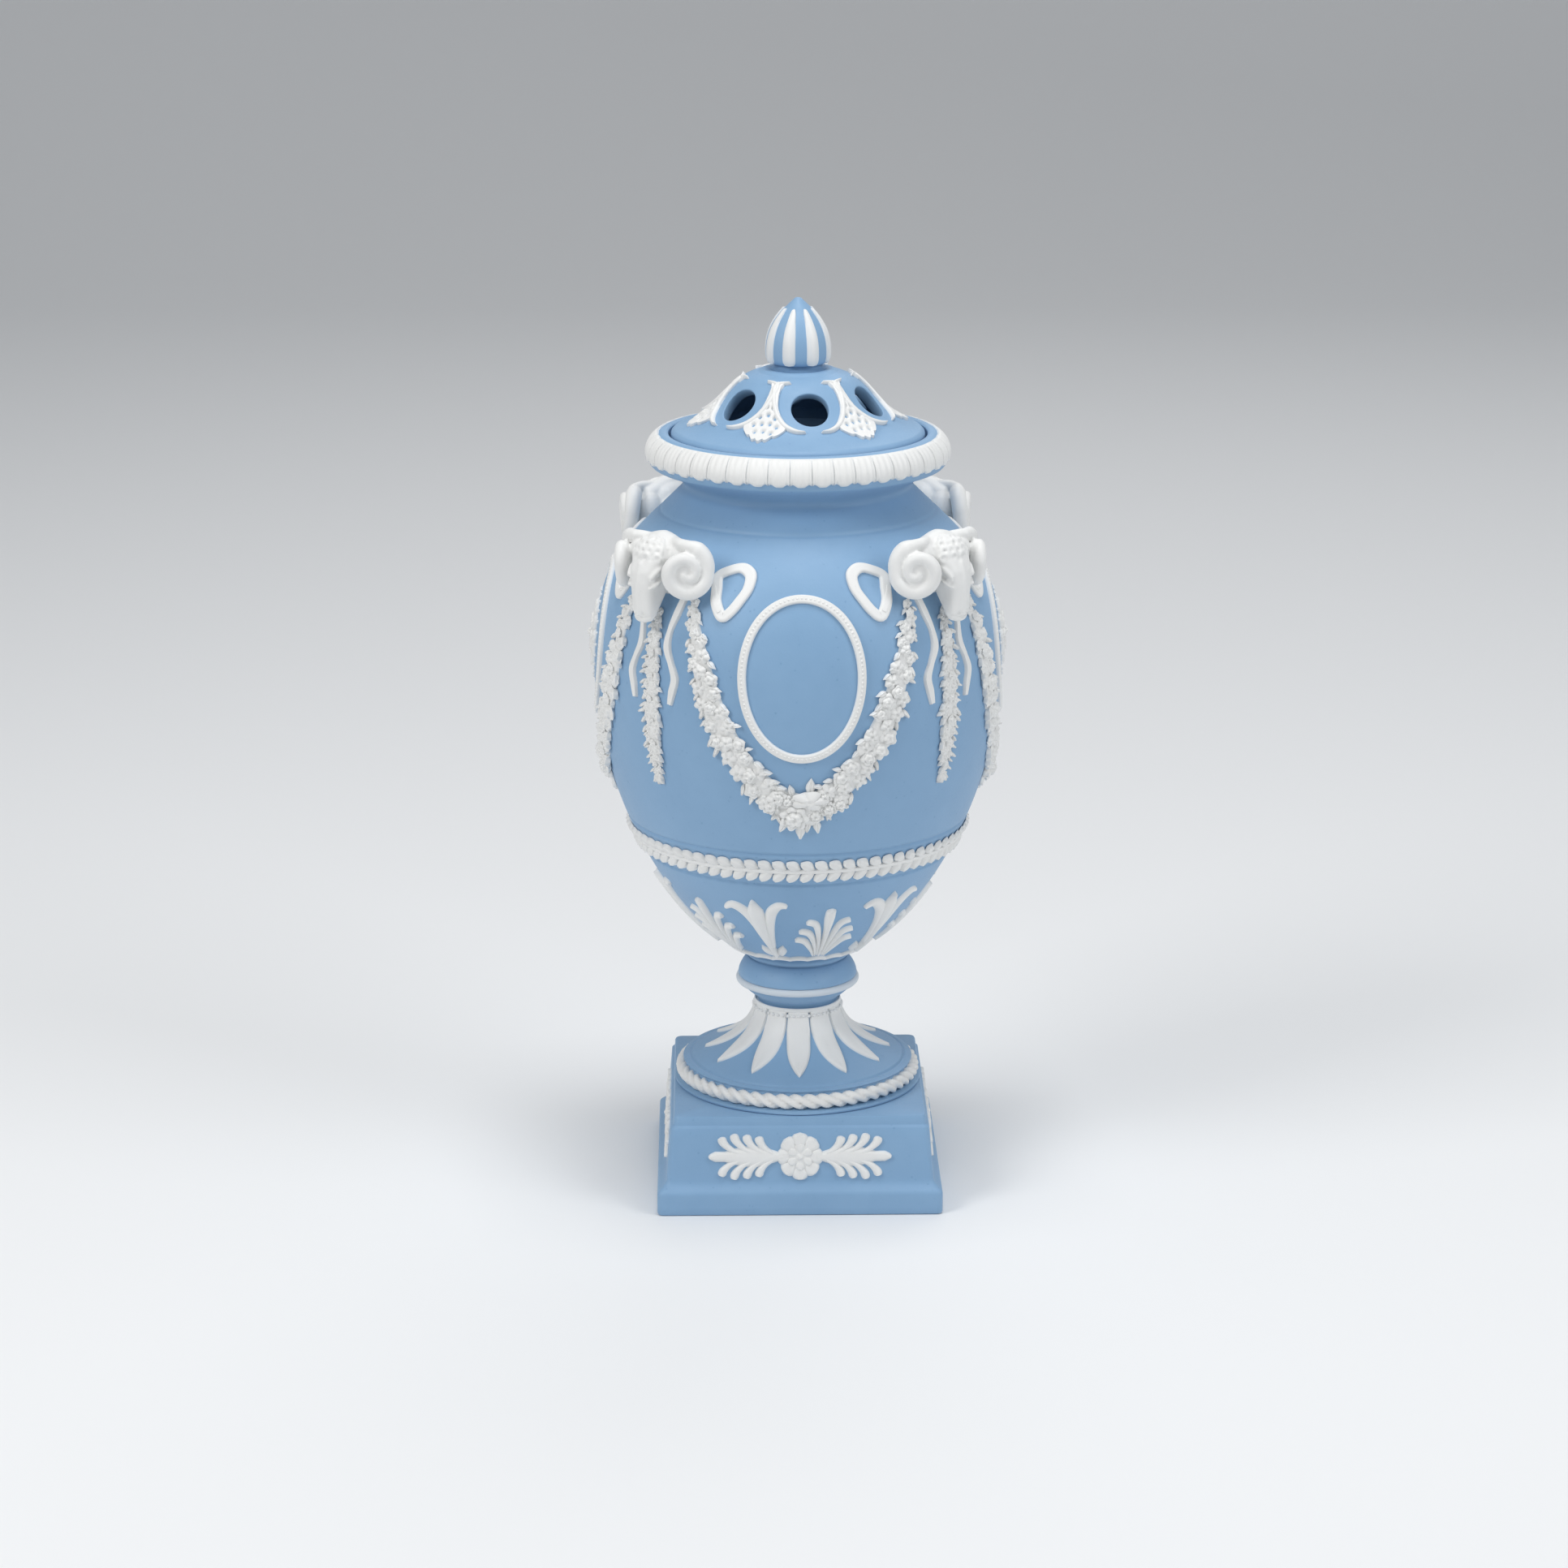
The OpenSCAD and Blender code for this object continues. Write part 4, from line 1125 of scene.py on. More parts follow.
@dataclass
class Medallions:
    """Oval frames on the four sides, with a flower in those to the left and right."""

    wares: Wares
    face: TurnedFace
    centre_z: float = 188.6
    half_width: float = 19.3
    half_height: float = 25.9
    pearls: int = 104
    petals: int = 12
    inner_petals: int = 8
    beads: int = 24
    bead_oval: Tuple[float, float] = (10.4, 14.8)

    def oval(self, t: Array) -> Tuple[Array, Array]:
        """Gives points of the middle of the frame at turns in radians."""
        return self.half_width * np.cos(t), self.half_height * np.sin(t)

    def build(self) -> None:
        """Builds the four frames and the two flowers."""
        up = self.face.up_to(self.centre_z)
        frame = Forms.hoop(self.oval, 1.4, 1.5, 144, 16, hollow=0.24)
        pearl = Bench.ball(8, 6, 0.52, 0.52, 0.5)
        fine = np.linspace(0, math.tau, 721)
        run = np.concatenate([[0], np.cumsum(np.hypot(*np.diff(np.stack(self.oval(fine)), axis=1)))])
        spots = np.interp(np.linspace(0, run[-1], self.pearls + 1)[:-1], run, fine)
        pearls = [pearl.moved(x, y, 0.92) for x, y in zip(*self.oval(spots))]
        self.wares.copies(Quarter, "oval", "medallion", self.face, [frame, *pearls], up)
        petal = Forms.leaf(8.2, 4.4, 1.3, full=0.66, blunt=0.6, rib=0.3)
        inner = Forms.leaf(4.6, 2.9, 1.2, full=0.62, blunt=0.6, rib=0.25).moved(0, 0, 0.7)
        boss = Forms.rose(2.2, 2.6, 6, 1.8, segments=24, rings=16)
        bead = Bench.ball(8, 6, 0.62, 0.62, 0.75)
        stamps = [petal.moved(0, 0.9).turned(turn).sized(0.95, 1.36, 1) for turn in turns(self.petals)]
        stamps += [inner.moved(0, 0.8).turned(turn).sized(0.95, 1.3, 1) for turn in turns(self.inner_petals)]
        stamps.append(boss)
        for k in range(self.beads):
            a = math.tau * (k + 0.5) / self.beads
            stamps.append(bead.moved(self.bead_oval[0] * math.sin(a), self.bead_oval[1] * math.cos(a)))
        self.wares.copies((Quarter.RIGHT, Quarter.LEFT), "flower", "patera", self.face, stamps, up)


def closed_way(points: Sequence[Sequence[float]]) -> Callable[[Array], Tuple[Array, Array]]:
    """Gives a smooth closed path through points, as a function of a turn in radians."""
    p = np.asarray(points, float)
    wide = np.concatenate([p[-2:], p, p[:3]])
    n = len(p)

    def way(turn: Array) -> Tuple[Array, Array]:
        """Gives the place at a turn."""
        k = (np.asarray(turn) / math.tau % 1.0) * n + 2
        spot = spread(wide, k / (len(wide) - 1))
        return spot[:, 0], spot[:, 1]

    return way


@dataclass
class Swags:
    """Flower garlands from head to head, drops under the heads and ribbons beside them."""

    wares: Wares
    face: TurnedFace
    belly_z: float = 178.4
    seed: int = 7
    garland_way: Tuple[Tuple[float, float], ...] = (
        (33.6, 211.0), (31.6, 203.5), (29.8, 196.7), (28.2, 190.0), (26.6, 183.6), (24.8, 177.6), (22.6, 171.8),
        (19.9, 166.0), (16.8, 160.2), (13.4, 155.2), (9.4, 150.6), (4.8, 147.2), (0.0, 145.4))
    loop_way: Tuple[Tuple[float, float], ...] = (
        (17.6, 218.5), (21.2, 220.5), (25.3, 221.3), (28.4, 219.5), (28.3, 215.8), (26.3, 212.2), (24.0, 208.9),
        (21.5, 207.2), (19.0, 211.0), (18.2, 214.8))
    tail_way: Tuple[Tuple[float, float], ...] = (
        (8.2, 212.0), (6.8, 206.5), (5.4, 201.0), (5.0, 195.6), (6.8, 190.6), (8.2, 186.0), (7.4, 181.6), (6.6, 177.0))
    garland_widths: Tuple[float, ...] = (1.0, 2.4, 3.7, 4.6, 5.2, 5.5, 5.3, 5.2, 5.4, 5.9, 6.2)
    drop_widths: Tuple[float, ...] = (1.0, 2.2, 2.9, 3.3, 3.5, 3.4, 3.0, 2.3, 0.8)
    drop_z: Tuple[float, float] = (206.0, 150.6)
    lanes: Tuple[float, ...] = (-0.5, 0.48, -0.44, 0.52, 0.02)
    posy: Tuple[float, float] = (9.0, 6.4)
    posy_leaves: Tuple[Tuple[float, float, float, float], ...] = (
        (-0.2, -5.4, 178, 1.0), (-4.6, -4.8, 146, 0.75), (4.6, -4.4, 188, 0.8), (2.2, -4.6, 172, 0.7),
        (7.4, -1.2, -146, 0.6), (2.6, 5.0, -4, 0.95), (-2.9, 4.4, 14, 0.7), (-6.4, 5.0, 30, 0.7),
        (6.6, 5.6, -42, 0.8), (9.6, 6.0, -30, 0.7), (-9.4, 6.0, 44, 0.7), (-7.2, -1.6, 134, 0.6))
    posy_roses: Tuple[Tuple[float, float, float], ...] = (
        (-9.8, 1.2, 2.8), (-7.2, 4.4, 2.5), (12.2, 1.8, 2.7), (8.4, 0.2, 2.7), (4.4, -2.0, 2.7), (7.2, 4.6, 2.3),
        (-4.6, 3.0, 2.3))

    def local(self, way: Sequence[Tuple[float, float]]) -> Array:
        """Gives turns and heights as local millimetres from the belly."""
        s0 = self.face.up_to(self.belly_z)
        return np.array([(math.radians(a) * self.face.radius(self.face.up_to(z)), self.face.up_to(z) - s0)
                         for a, z in way])

    def flowering(self, way: Array, widths: Sequence[float], sizes: Tuple[float, float], count: int,
                  leaves: int) -> List[Stamp]:
        """Scatters flowers and leaves along a way over a low bed.

        Args:
            way: Local points of the middle.
            widths: Half widths at even steps.
            sizes: Smallest and largest radius of a flower.
            count: Number of flowers.
            leaves: Number of leaves along each edge.

        Returns:
            The stamps to lay.
        """
        rng = np.random.default_rng(self.seed)
        rose = Forms.rose(1.0, 0.8, 5, 1.3, eye=0.3, cup=0.2, segments=24, rings=20)
        blossom = Forms.rose(1.0, 0.7, 5, 0.0, eye=0.6, segments=20, rings=14)
        leaf = Forms.leaf(1.0, 0.42, 0.3, full=0.42, rib=0.4, across=4, along=6)
        length = np.concatenate([[0], np.cumsum(np.linalg.norm(np.diff(way, axis=0), axis=1))])
        even = np.linspace(0, length[-1], 60)
        fine = np.stack([np.interp(even, length, way[:, 0]), np.interp(even, length, way[:, 1])], axis=1)
        stamps = [Forms.stroke(fine[::3], [0.8 * w for w in widths], 1.0, across=8, along=90, edge=2.0)]

        def spot(t: float) -> Tuple[Array, Array, float]:
            """Gives the middle, direction and half width at a share of the way."""
            here = spread(fine, np.array([t]))[0]
            near, far = spread(fine, np.array([max(t - NUDGE, 0.0), min(t + NUDGE, 1.0)]))
            ahead = far - near
            return here, ahead / np.linalg.norm(ahead), float(np.interp(t, np.linspace(0, 1, len(widths)), widths))

        for side in (-1, 1):
            for k in range(leaves):
                mid, way_on, w = spot((k + 0.3 + 0.4 * rng.random()) / leaves)
                out = np.array([way_on[1], -way_on[0]]) * side
                down = way_on if way_on[1] < 0 else -way_on
                lean = down * (0.4 + 0.6 * rng.random()) + out * (0.3 + 0.7 * rng.random())
                size = (2.9 + 1.7 * rng.random()) * (0.62 + 0.07 * w)
                base = mid + out * w * (0.5 + 0.25 * rng.random())
                stamps.append(leaf.sized(size, size, size * 0.9).tipped(6 + 12 * rng.random())
                              .turned(math.degrees(math.atan2(lean[1], lean[0])) - 90).moved(base[0], base[1], 0.5))
        for k in range(count):
            mid, way_on, w = spot((k + 0.5 * rng.random()) / count)
            out = np.array([way_on[1], -way_on[0]])
            lane = k % len(self.lanes)
            on_top = lane == len(self.lanes) - 1
            shift = self.lanes[lane] + 0.14 * (rng.random() - 0.5)
            base = mid + out * w * shift
            r = (sizes[0] + (sizes[1] - sizes[0]) * rng.random()) * (0.45 + 0.1 * w) * (0.85 if on_top else 1.0)
            form = blossom if k % 2 == 1 else rose
            stamps.append(form.sized(r, r, r).turned(360 * rng.random()).tipped(10 * rng.random(), 360 * rng.random())
                          .moved(base[0], base[1], 0.6 - 0.5 * abs(shift) + (0.5 if on_top else 0.0)))
        return stamps

    def build(self) -> None:
        """Builds the garlands, drops and ribbons."""
        up = self.face.up_to(self.belly_z)
        self.build_garlands(up)
        self.build_drops(up)
        self.build_ribbons(up)

    def build_garlands(self, up: float) -> None:
        """Builds one garland with a posy at its lowest point and lays it on the four sides."""
        half = [(-a, z) for a, z in self.garland_way]
        way = self.local(half + [(a, z) for a, z in self.garland_way[-2::-1]])
        widths = self.garland_widths + self.garland_widths[-2::-1]
        stamps = self.flowering(way, widths, (2.5, 3.1), 66, 36)
        low = float(way[len(way) // 2, 1])
        spots = np.array([stamp.verts[:, :2].mean(axis=0) for stamp in stamps]) - (0.0, low + 0.6)
        inside = np.hypot(spots[:, 0] / self.posy[0], spots[:, 1] / self.posy[1]) < 1.0
        stamps = stamps[:1] + [stamp for stamp, hidden in zip(stamps[1:], inside[1:]) if not hidden]
        leaf = Forms.leaf(6.4, 3.4, 1.2, full=0.42, rib=0.35, across=6, along=8)
        for x, y, turn, size in self.posy_leaves:
            stamps.append(leaf.sized(size, size, 1.0).turned(turn).moved(x, low + y, 0.3))
        great = Forms.rose(1.0, 0.85, 7, 1.0, eye=0.4, cup=0.34, segments=48, rings=40)
        broad = Forms.rose(1.0, 0.7, 5, 0.0, eye=0.25, segments=40, rings=24)
        stamps.append(broad.sized(9.6, 6.0, 2.6).moved(0.4, low + 0.2, 0.2))
        stamps.append(great.sized(4.4, 4.2, 3.6).moved(-2.4, low - 2.8, 1.3))
        stamps.append(broad.sized(5.6, 3.3, 3.6).moved(2.4, low + 3.6, 1.2))
        for x, y, r in self.posy_roses:
            stamps.append(great.sized(r, r, r).turned(40 * x).moved(x, low + y, 0.9))
        self.wares.copies(Quarter, "garland_bloom", "garland", self.face, stamps, up)

    def build_drops(self, up: float) -> None:
        """Builds one drop of flowers and lays it under the four heads."""
        way = self.local([(0.0, z) for z in np.linspace(*self.drop_z, 12)])
        stamps = self.flowering(way, self.drop_widths, (1.9, 2.5), 38, 22)
        tip = Forms.leaf(4.6, 2.4, 1.0, rib=0.35)
        stamps += [tip.turned(a).moved(0, way[-1, 1] + 2.6, 0.3) for a in (155, 180, 205)]
        self.wares.copies(Corner, "drop_bloom", "drop", self.face, stamps, up)

    def build_ribbons(self, up: float) -> None:
        """Builds the ribbon loops and tails to both sides of each head."""
        loop = Forms.hoop(closed_way(self.local(self.loop_way)), 1.75, 1.5, 96, 14, hollow=0.3)
        fold = Forms.stroke(self.local([(17.0, 216.0), (18.6, 212.0), (21.0, 208.0)]), [0.8, 1.5, 0.8], 1.9, across=6,
                            along=12, hollow=0.3)
        tail = Forms.stroke(self.local(self.tail_way), [1.4, 1.6, 1.15, 1.6, 1.2, 1.65, 1.6, 0.9], 1.3, across=6,
                            along=48, hollow=0.3, edge=4.0)
        stamps = [stamp.sized(flip, 1, 1) for flip in (1, -1) for stamp in (loop, fold, tail)]
        self.wares.copies(Corner, "ribbon", "bow", self.face, stamps, up)


@dataclass
class RamHeads:
    """Ram heads at the four corners, modelled once and copied."""

    wares: Wares
    face: TurnedFace
    centre_z: float = 215.4
    grain: float = 0.38
    bed: float = 1.0

    @staticmethod
    def horn() -> Stamp:
        """Models a horn that leaves the poll and winds inwards to a disc, for the right side."""
        inward, up, outward = np.array([-0.64, -0.77, 0.0]), np.array([0.0, -0.06, 1.0]), np.array([0.77, -0.64, 0.0])
        mid = np.array([13.8, -6.7, 6.0])
        turn = np.linspace(0, 640, 200)
        ring = np.interp(turn, (0, 45, 90, 180, 270, 360, 450, 540, 640),
                         (8.2, 7.7, 6.6, 6.8, 5.8, 4.4, 2.9, 1.7, 0.5))
        ang = np.radians(90 + turn)
        out = np.interp(turn, (0, 60, 130, 640), (-2.4, -0.9, 0.4, 1.9))
        coil = mid - np.outer(ring * np.cos(ang), -inward) + np.outer(ring * np.sin(ang), up) + np.outer(out, outward)
        root = [(0.0, -1.4, 13.2), (2.4, -2.2, 14.0), (5.0, -3.4, 14.3), (7.6, -4.4, 14.4), (9.8, -5.3, 14.2)]
        root_turn = [-200, -150, -100, -60, -25]
        joint = 4
        tube = np.interp(np.concatenate([root_turn, turn[joint:]]), (-200, -100, 0, 90, 270, 360, 450, 540, 640),
                         (2.9, 3.1, 3.0, 2.5, 2.2, 1.85, 1.5, 1.2, 0.9))
        return Bench.worm(np.concatenate([root, coil[joint:]]), tube, 18, 240)

    @staticmethod
    def muzzle() -> Stamp:
        """Models the wedge of the face, flat in front and narrow below."""
        level = (13.0, 9.0, 5.0, 1.0, -3.0, -7.0, -10.0, -11.0)
        front = (9.6, 13.0, 14.6, 15.0, 14.9, 14.6, 14.0, 13.2)
        back = (-2.0, 0.0, 1.5, 3.0, 5.0, 7.6, 9.6, 10.6)
        half = (7.4, 6.9, 6.1, 5.3, 4.7, 4.2, 3.7, 3.1)

        def shape(u: Array, v: Array) -> Tuple[Array, Array, Array]:
            """Gives points of the face."""
            z = 13.0 - 24.0 * v
            a, b, w = (np.interp(-z, [-k for k in level], row) for row in (front, back, half))
            c, d = np.cos(math.tau * u), np.sin(math.tau * u)
            depth = np.sign(d) * np.abs(d) ** 0.72 * (a - b) / 2
            return np.sign(c) * np.abs(c) ** 0.72 * w, -(a + b) / 2 - depth, z

        return Bench.wrapped(48, 40, shape, capped=True)

    def masses(self) -> List[Stamp]:
        """Models the parts of one head in its own millimetres: across, back and up."""
        skull = Bench.ball(24, 16, 9.4, 9.0, 9.0).moved(0, 3.0, 3.5)
        crown = Bench.ball(24, 16, 8.8, 8.2, 6.6).moved(0, -3.4, 9.4)
        nape = Bench.ball(20, 12, 6.4, 7.6, 3.4).moved(0, 3.6, 8.6)
        poll = Bench.worm([(-10.0, -3.6, 10.4), (0, -3.0, 12.6), (10.0, -3.6, 10.4)], [3.0, 4.4, 3.0], 18, 24)
        chin = Bench.ball(18, 12, 3.2, 1.9, 1.4).moved(0, -12.4, -10.2)
        nose = Bench.worm([(0, -12.0, 8.5), (0, -13.5, 2.5), (0, -13.7, -4.5), (0, -12.9, -9.0)],
                          [1.8, 1.8, 1.8, 2.1], 14, 24)
        brow = Bench.worm([(5.6, -8.6, 7.4), (5.7, -11.4, 5.6), (4.8, -14.2, 3.0)], [0.8, 1.1, 0.6], 10, 16)
        lid = Bench.worm([(5.7, -9.6, 3.0), (5.7, -12.0, 1.4), (4.6, -14.4, 0.0)], [0.6, 0.8, 0.4], 10, 16)
        disc = Bench.ball(24, 12, 6.4, 1.9, 6.8).turned(50).moved(13.6, -6.5, 5.8)
        eye = Bench.ball(14, 10, 1.0, 1.3, 1.0).moved(4.9, -12.6, 3.3)
        nostril = Bench.ball(14, 10, 1.1, 0.9, 0.9).moved(1.7, -13.5, -8.9)
        temple = Bench.ball(18, 12, 4.8, 5.0, 6.4).moved(9.0, -2.0, 6.6)
        horn_bed = Bench.ball(16, 12, 3.8, 3.2, 4.2).moved(8.6, -4.8, 9.8)
        parts = [self.muzzle(), skull, crown, nape, poll, chin, nose]
        for form in (self.horn(), brow, lid, disc, eye, nostril, temple, horn_bed):
            parts += [form, form.sized(-1, 1, 1)]
        return parts + self.wool()

    @staticmethod
    def wool() -> List[Stamp]:
        """Models the curls on the forehead."""
        rng = np.random.default_rng(3)
        mid, half = np.array([0, -3.2, 9.2]), np.array([9.3, 9.3, 6.5])

        def curl_shape(turn: Array, sec: Array) -> Tuple[Array, Array, Array]:
            """Gives points of one curl."""
            r = 0.95 + 0.52 * np.cos(sec)
            return r * np.cos(turn), r * np.sin(turn), 0.52 * np.sin(sec)

        curl = Bench.ring(14, 8, curl_shape)
        curls = []
        rows = [(el, az) for el, n in ((2, 4), (18, 5), (36, 5), (54, 4)) for az in np.linspace(-34, 34, n)]
        for el, az in rows:
            el, az = math.radians(el + 6 * rng.random()), math.radians(az + 8 * (rng.random() - 0.5))
            n = np.array([math.sin(az) * math.cos(el), -math.cos(az) * math.cos(el), math.sin(el)])
            side = np.cross([0.0, 0.3, 1.0], n)
            side /= np.linalg.norm(side)
            frame = np.stack([side, np.cross(n, side), n], axis=0)
            size = 1.05 + 0.35 * rng.random()
            curls.append(Stamp((curl.verts * size) @ frame + (mid + n * half), curl.faces))
        return curls

    def build(self) -> None:
        """Joins, remeshes and smooths one head, then copies it to the corners."""
        whole = Stamp.joined(self.masses())
        obj = Bench.added("ram_model", (whole.verts * MM).tolist(), [], whole.faces)
        remesh = obj.modifiers.new("skin", "REMESH")
        remesh.mode, remesh.voxel_size = "VOXEL", self.grain * MM
        bpy.ops.object.modifier_apply(modifier="skin")
        even = obj.modifiers.new("even", "SMOOTH")
        even.factor, even.iterations = 0.5, 4
        bpy.ops.object.modifier_apply(modifier="even")
        model = Bench.take(obj)
        head = Stamp(self.carve(model.verts / MM), model.faces)
        head = head.moved(0.0, -self.face.radius(self.face.up_to(self.centre_z)), self.centre_z)
        reach = np.hypot(head.verts[:, 0], head.verts[:, 1])
        wall = np.interp(head.verts[:, 2], self.face.profile[:, 1], self.face.profile[:, 0]) - self.bed
        head.verts[:, :2] *= np.maximum(1.0, wall / reach)[:, None]
        for corner in Corner:
            piece = Relief(f"ram_mask_{corner.name.lower()}").add(head.turned(corner.value), lift=1.5)
            self.wares.relief(piece.build(75.0), "vase", f"ram_{corner.name.lower()}")

    @staticmethod
    def carve(v: Array) -> Array:
        """Presses the mouth and nostrils into the muzzle."""
        v = v.copy()
        front = v[:, 1] < -9.0
        line = np.exp(-(((v[:, 2] + 9.7 - 0.05 * v[:, 0] ** 2) / 0.34) ** 2)) * (np.abs(v[:, 0]) < 3.6) * front
        v[:, 1] += 0.5 * line
        for x in (-1.75, 1.75):
            d = np.hypot((v[:, 0] - x) / 0.7, (v[:, 2] + 8.4) / 0.5)
            v[:, 1] += 0.7 * np.exp(-d * d) * front
        return v


@dataclass
class Cover:
    """Pierced cover with pendants between its holes, a collar and a striped bud."""

    wares: Wares
    edge: float = 41.6
    edge_z: float = 256.4
    ledge_z: float = 251.6
    dome_z: float = 276.8
    wall: float = 4.0
    skirt: float = 34.4
    skirt_wall: float = 3.4
    skirt_depth: float = 7.0
    holes: int = 6
    hole: float = 6.2
    hole_z: float = 267.416
    turn: float = 8.0
    per_side: int = 24
    bud: float = 10.5
    bud_turn: float = 4.5
    bud_z: float = 278.4
    top: float = 300.0
    stripes: int = 8
    bore_edge: float = 0.4
    seam: float = 0.01
    sharp: float = 38.0
    tile_reach: Tuple[float, float] = (8.6, 9.4)
    wing_way: Tuple[Tuple[float, float], ...] = (
        (4.8, 10.4), (8.6, 9.8), (10.5, 8.0), (11.2, 5.0), (11.4, 2.0), (11.2, -0.6), (10.6, -3.2), (8.8, -6.6),
        (5.6, -8.8), (2.4, -9.4))
    wing_widths: Tuple[float, ...] = (0.2, 0.8, 1.05, 1.05, 1.0, 0.95, 1.0, 1.0, 0.8, 0.15)
    fan_top: float = 8.6
    fan_rows: Tuple[float, ...] = (-16.0, -12.0, -10.0, -8.0, -6.6, -5.0, -3.2, 0.0, 2.0, 5.0, 8.0, 9.0)
    fan_widths: Tuple[float, ...] = (5.6, 6.2, 6.9, 7.4, 7.2, 6.0, 4.6, 2.8, 2.2, 1.7, 1.6, 1.4)
    fan_pits: Tuple[Tuple[float, float], ...] = (
        (0.0, 3.6), (-1.1, 0.4), (1.2, 0.2), (0.1, -2.6), (-2.5, -3.6), (2.6, -3.8), (-1.2, -6.4), (1.5, -6.2),
        (-3.9, -7.0), (4.0, -7.4), (0.2, -9.6), (-2.6, -10.0), (2.9, -10.2))
    face: TurnedFace = field(init=False)
    bud_face: TurnedFace = field(init=False)

    def __post_init__(self) -> None:
        """Draws the profiles of the dome and the bud."""
        e, r = self.edge_z, self.edge
        self.face = TurnedFace(bezier((r - 1.2, e + 0.6), (r - 17.3, e + 5.3), (r - 17.5, e + 17.7),
                                      (12.8, self.dome_z - 0.9), 80))
        self.bud_face = TurnedFace(np.concatenate([
            bezier((7.4, self.bud_z), (self.bud - 0.3, self.bud_z + 0.1), (self.bud, self.bud_z + 1.8),
                   (self.bud, self.bud_z + 4.4), 14),
            bezier((self.bud, self.bud_z + 4.4), (self.bud, self.bud_z + 12.4), (6.17, self.bud_z + 16.6),
                   (1.0, self.top - 0.2), 24)[1:]]))

    def build(self) -> None:
        """Builds the cover with its relief and its finial."""
        self.build_dome()
        self.build_pendants()
        self.build_finial()

    def tile(self, low: float, high: float) -> Stamp:
        """Models one sixth of the dome round its hole, outside, bore and inside in one.

        Args:
            low, high: Lengths along the profile between which it reaches.

        Returns:
            The tile in millimetres, about the front.
        """
        mid = self.face.up_to(self.hole_z)
        n = self.per_side
        f = self.bore_edge
        rows = [(1.0, 1.5, -self.wall), (0.6, 1.5, -self.wall), (0.25, 1.5, -self.wall), (0.0, 1.5, -self.wall),
                (0.0, 1.1, -self.wall + 0.15), (0.0, 0.8, -self.wall + 0.6), (0.0, 0.1, -1.5), (0.0, 0.0, -f)]
        rows += [(0.0, f * (1 - math.cos(a)), -f * (1 - math.sin(a))) for a in np.radians([18, 36, 54, 72, 90])]
        rows += [(k, f * (1 - k), 0.0) for k in (0.1, 0.22, 0.36, 0.52, 0.68, 0.84, 1.0)]
        table = np.array(rows)

        def shape(u: Array, v: Array) -> Tuple[Array, Array, Array]:
            """Gives points from the inner edge of the tile through the bore to the outer edge."""
            k, grow, out = (np.interp(v, np.linspace(0, 1, len(table)), col) for col in table.T)
            step = np.round(u * 4 * n).astype(int) % (4 * n)
            side, run = step // n, (step % n) / n * 2 - 1
            p = np.choose(side, [run, np.ones_like(run), -run, -np.ones_like(run)])
            q = np.choose(side, [-np.ones_like(run), run, np.ones_like(run), -run])
            s = np.where(q > 0, mid + q * (high - mid), mid + q * (mid - low))
            bx, by = p * math.pi / self.holes * self.face.radius(s), s - mid
            ang = np.arctan2(by, bx)
            cx, cy = (self.hole + grow) * np.cos(ang), (self.hole + grow) * np.sin(ang)
            x, y = cx + (bx - cx) * k, cy + (by - cy) * k
            x = np.where(k > 0.999, p * math.pi / self.holes * self.face.radius(mid + y), x)
            return tuple(self.face.place(np.stack([x, y, out], axis=1), 0.0, mid).T)

        return Bench.wrapped(4 * n, len(table) - 1, shape)

    def build_dome(self) -> None:
        """Joins six pierced tiles with the spun top, lip and skirt."""
        mid = self.face.up_to(self.hole_z)
        low, high = mid - self.tile_reach[0], mid + self.tile_reach[1]
        tile = self.tile(low, high)
        lip, top = self.face.length < low - 0.4, self.face.length > high + 0.4
        start = np.array([[np.interp(low, self.face.length, c) for c in self.face.profile.T]])
        end = np.array([[np.interp(high, self.face.length, c) for c in self.face.profile.T]])
        at = [self.face.place(np.array([[0.0, 0.0, -self.wall]]), 0.0, s)[0] for s in (low, high)]
        under = [np.array([[-p[1], p[2]]]) for p in at]
        e, bottom = self.edge_z, self.ledge_z - self.skirt_depth
        inner = self.skirt - self.skirt_wall
        lower = np.concatenate([
            under[0], [(inner + 0.2, e - 2.2), (inner, e - 3.0), (inner, bottom + 0.4), (inner + 0.4, bottom),
                       (self.skirt - 0.7, bottom), (self.skirt, bottom + 0.8), (self.skirt, self.ledge_z - 0.3),
                       (self.skirt + 0.3, self.ledge_z), (self.edge - 0.5, self.ledge_z),
                       (self.edge, self.ledge_z + 0.5), (self.edge, e - 1.0), (self.edge - 0.15, e - 0.4),
                       (self.edge - 0.55, e + 0.05), (self.edge - 0.9, e + 0.35)], self.face.profile[lip], start])
        crown = np.concatenate([end, self.face.profile[top],
                                [(12.1, self.dome_z - 0.3), (11.2, self.dome_z), (0.0, self.dome_z)]])
        roof = np.concatenate([under[1], [(8.0, self.dome_z - self.wall - 0.9), (0.0, self.dome_z - self.wall - 1.0)]])
        dome = Relief("cover_dome")
        for profile in (lower, crown, roof):
            strip = Bench.take(Bench.whirled("strip", profile, self.holes * self.per_side))
            dome.add(Stamp(strip.verts / MM, strip.faces))
        for turn in turns(self.holes, self.turn):
            dome.add(tile.turned(turn))
        obj = dome.build(self.sharp)
        Bench.weld(obj, self.seam * MM)
        Bench.outward(obj)
        Bench.soften(obj, self.sharp)
        self.wares.body(obj, "cover", "cover")

    def build_pendants(self) -> None:
        """Builds the fans, wings and crowns between the holes."""
        mid = self.face.up_to(self.hole_z)
        gap = math.pi / self.holes

        def on_hole(points: Sequence[Tuple[float, float]]) -> List[Tuple[float, float]]:
            """Gives points about the next hole as points about the pendant."""
            return [(x - gap * self.face.radius(mid + y), y) for x, y in points]

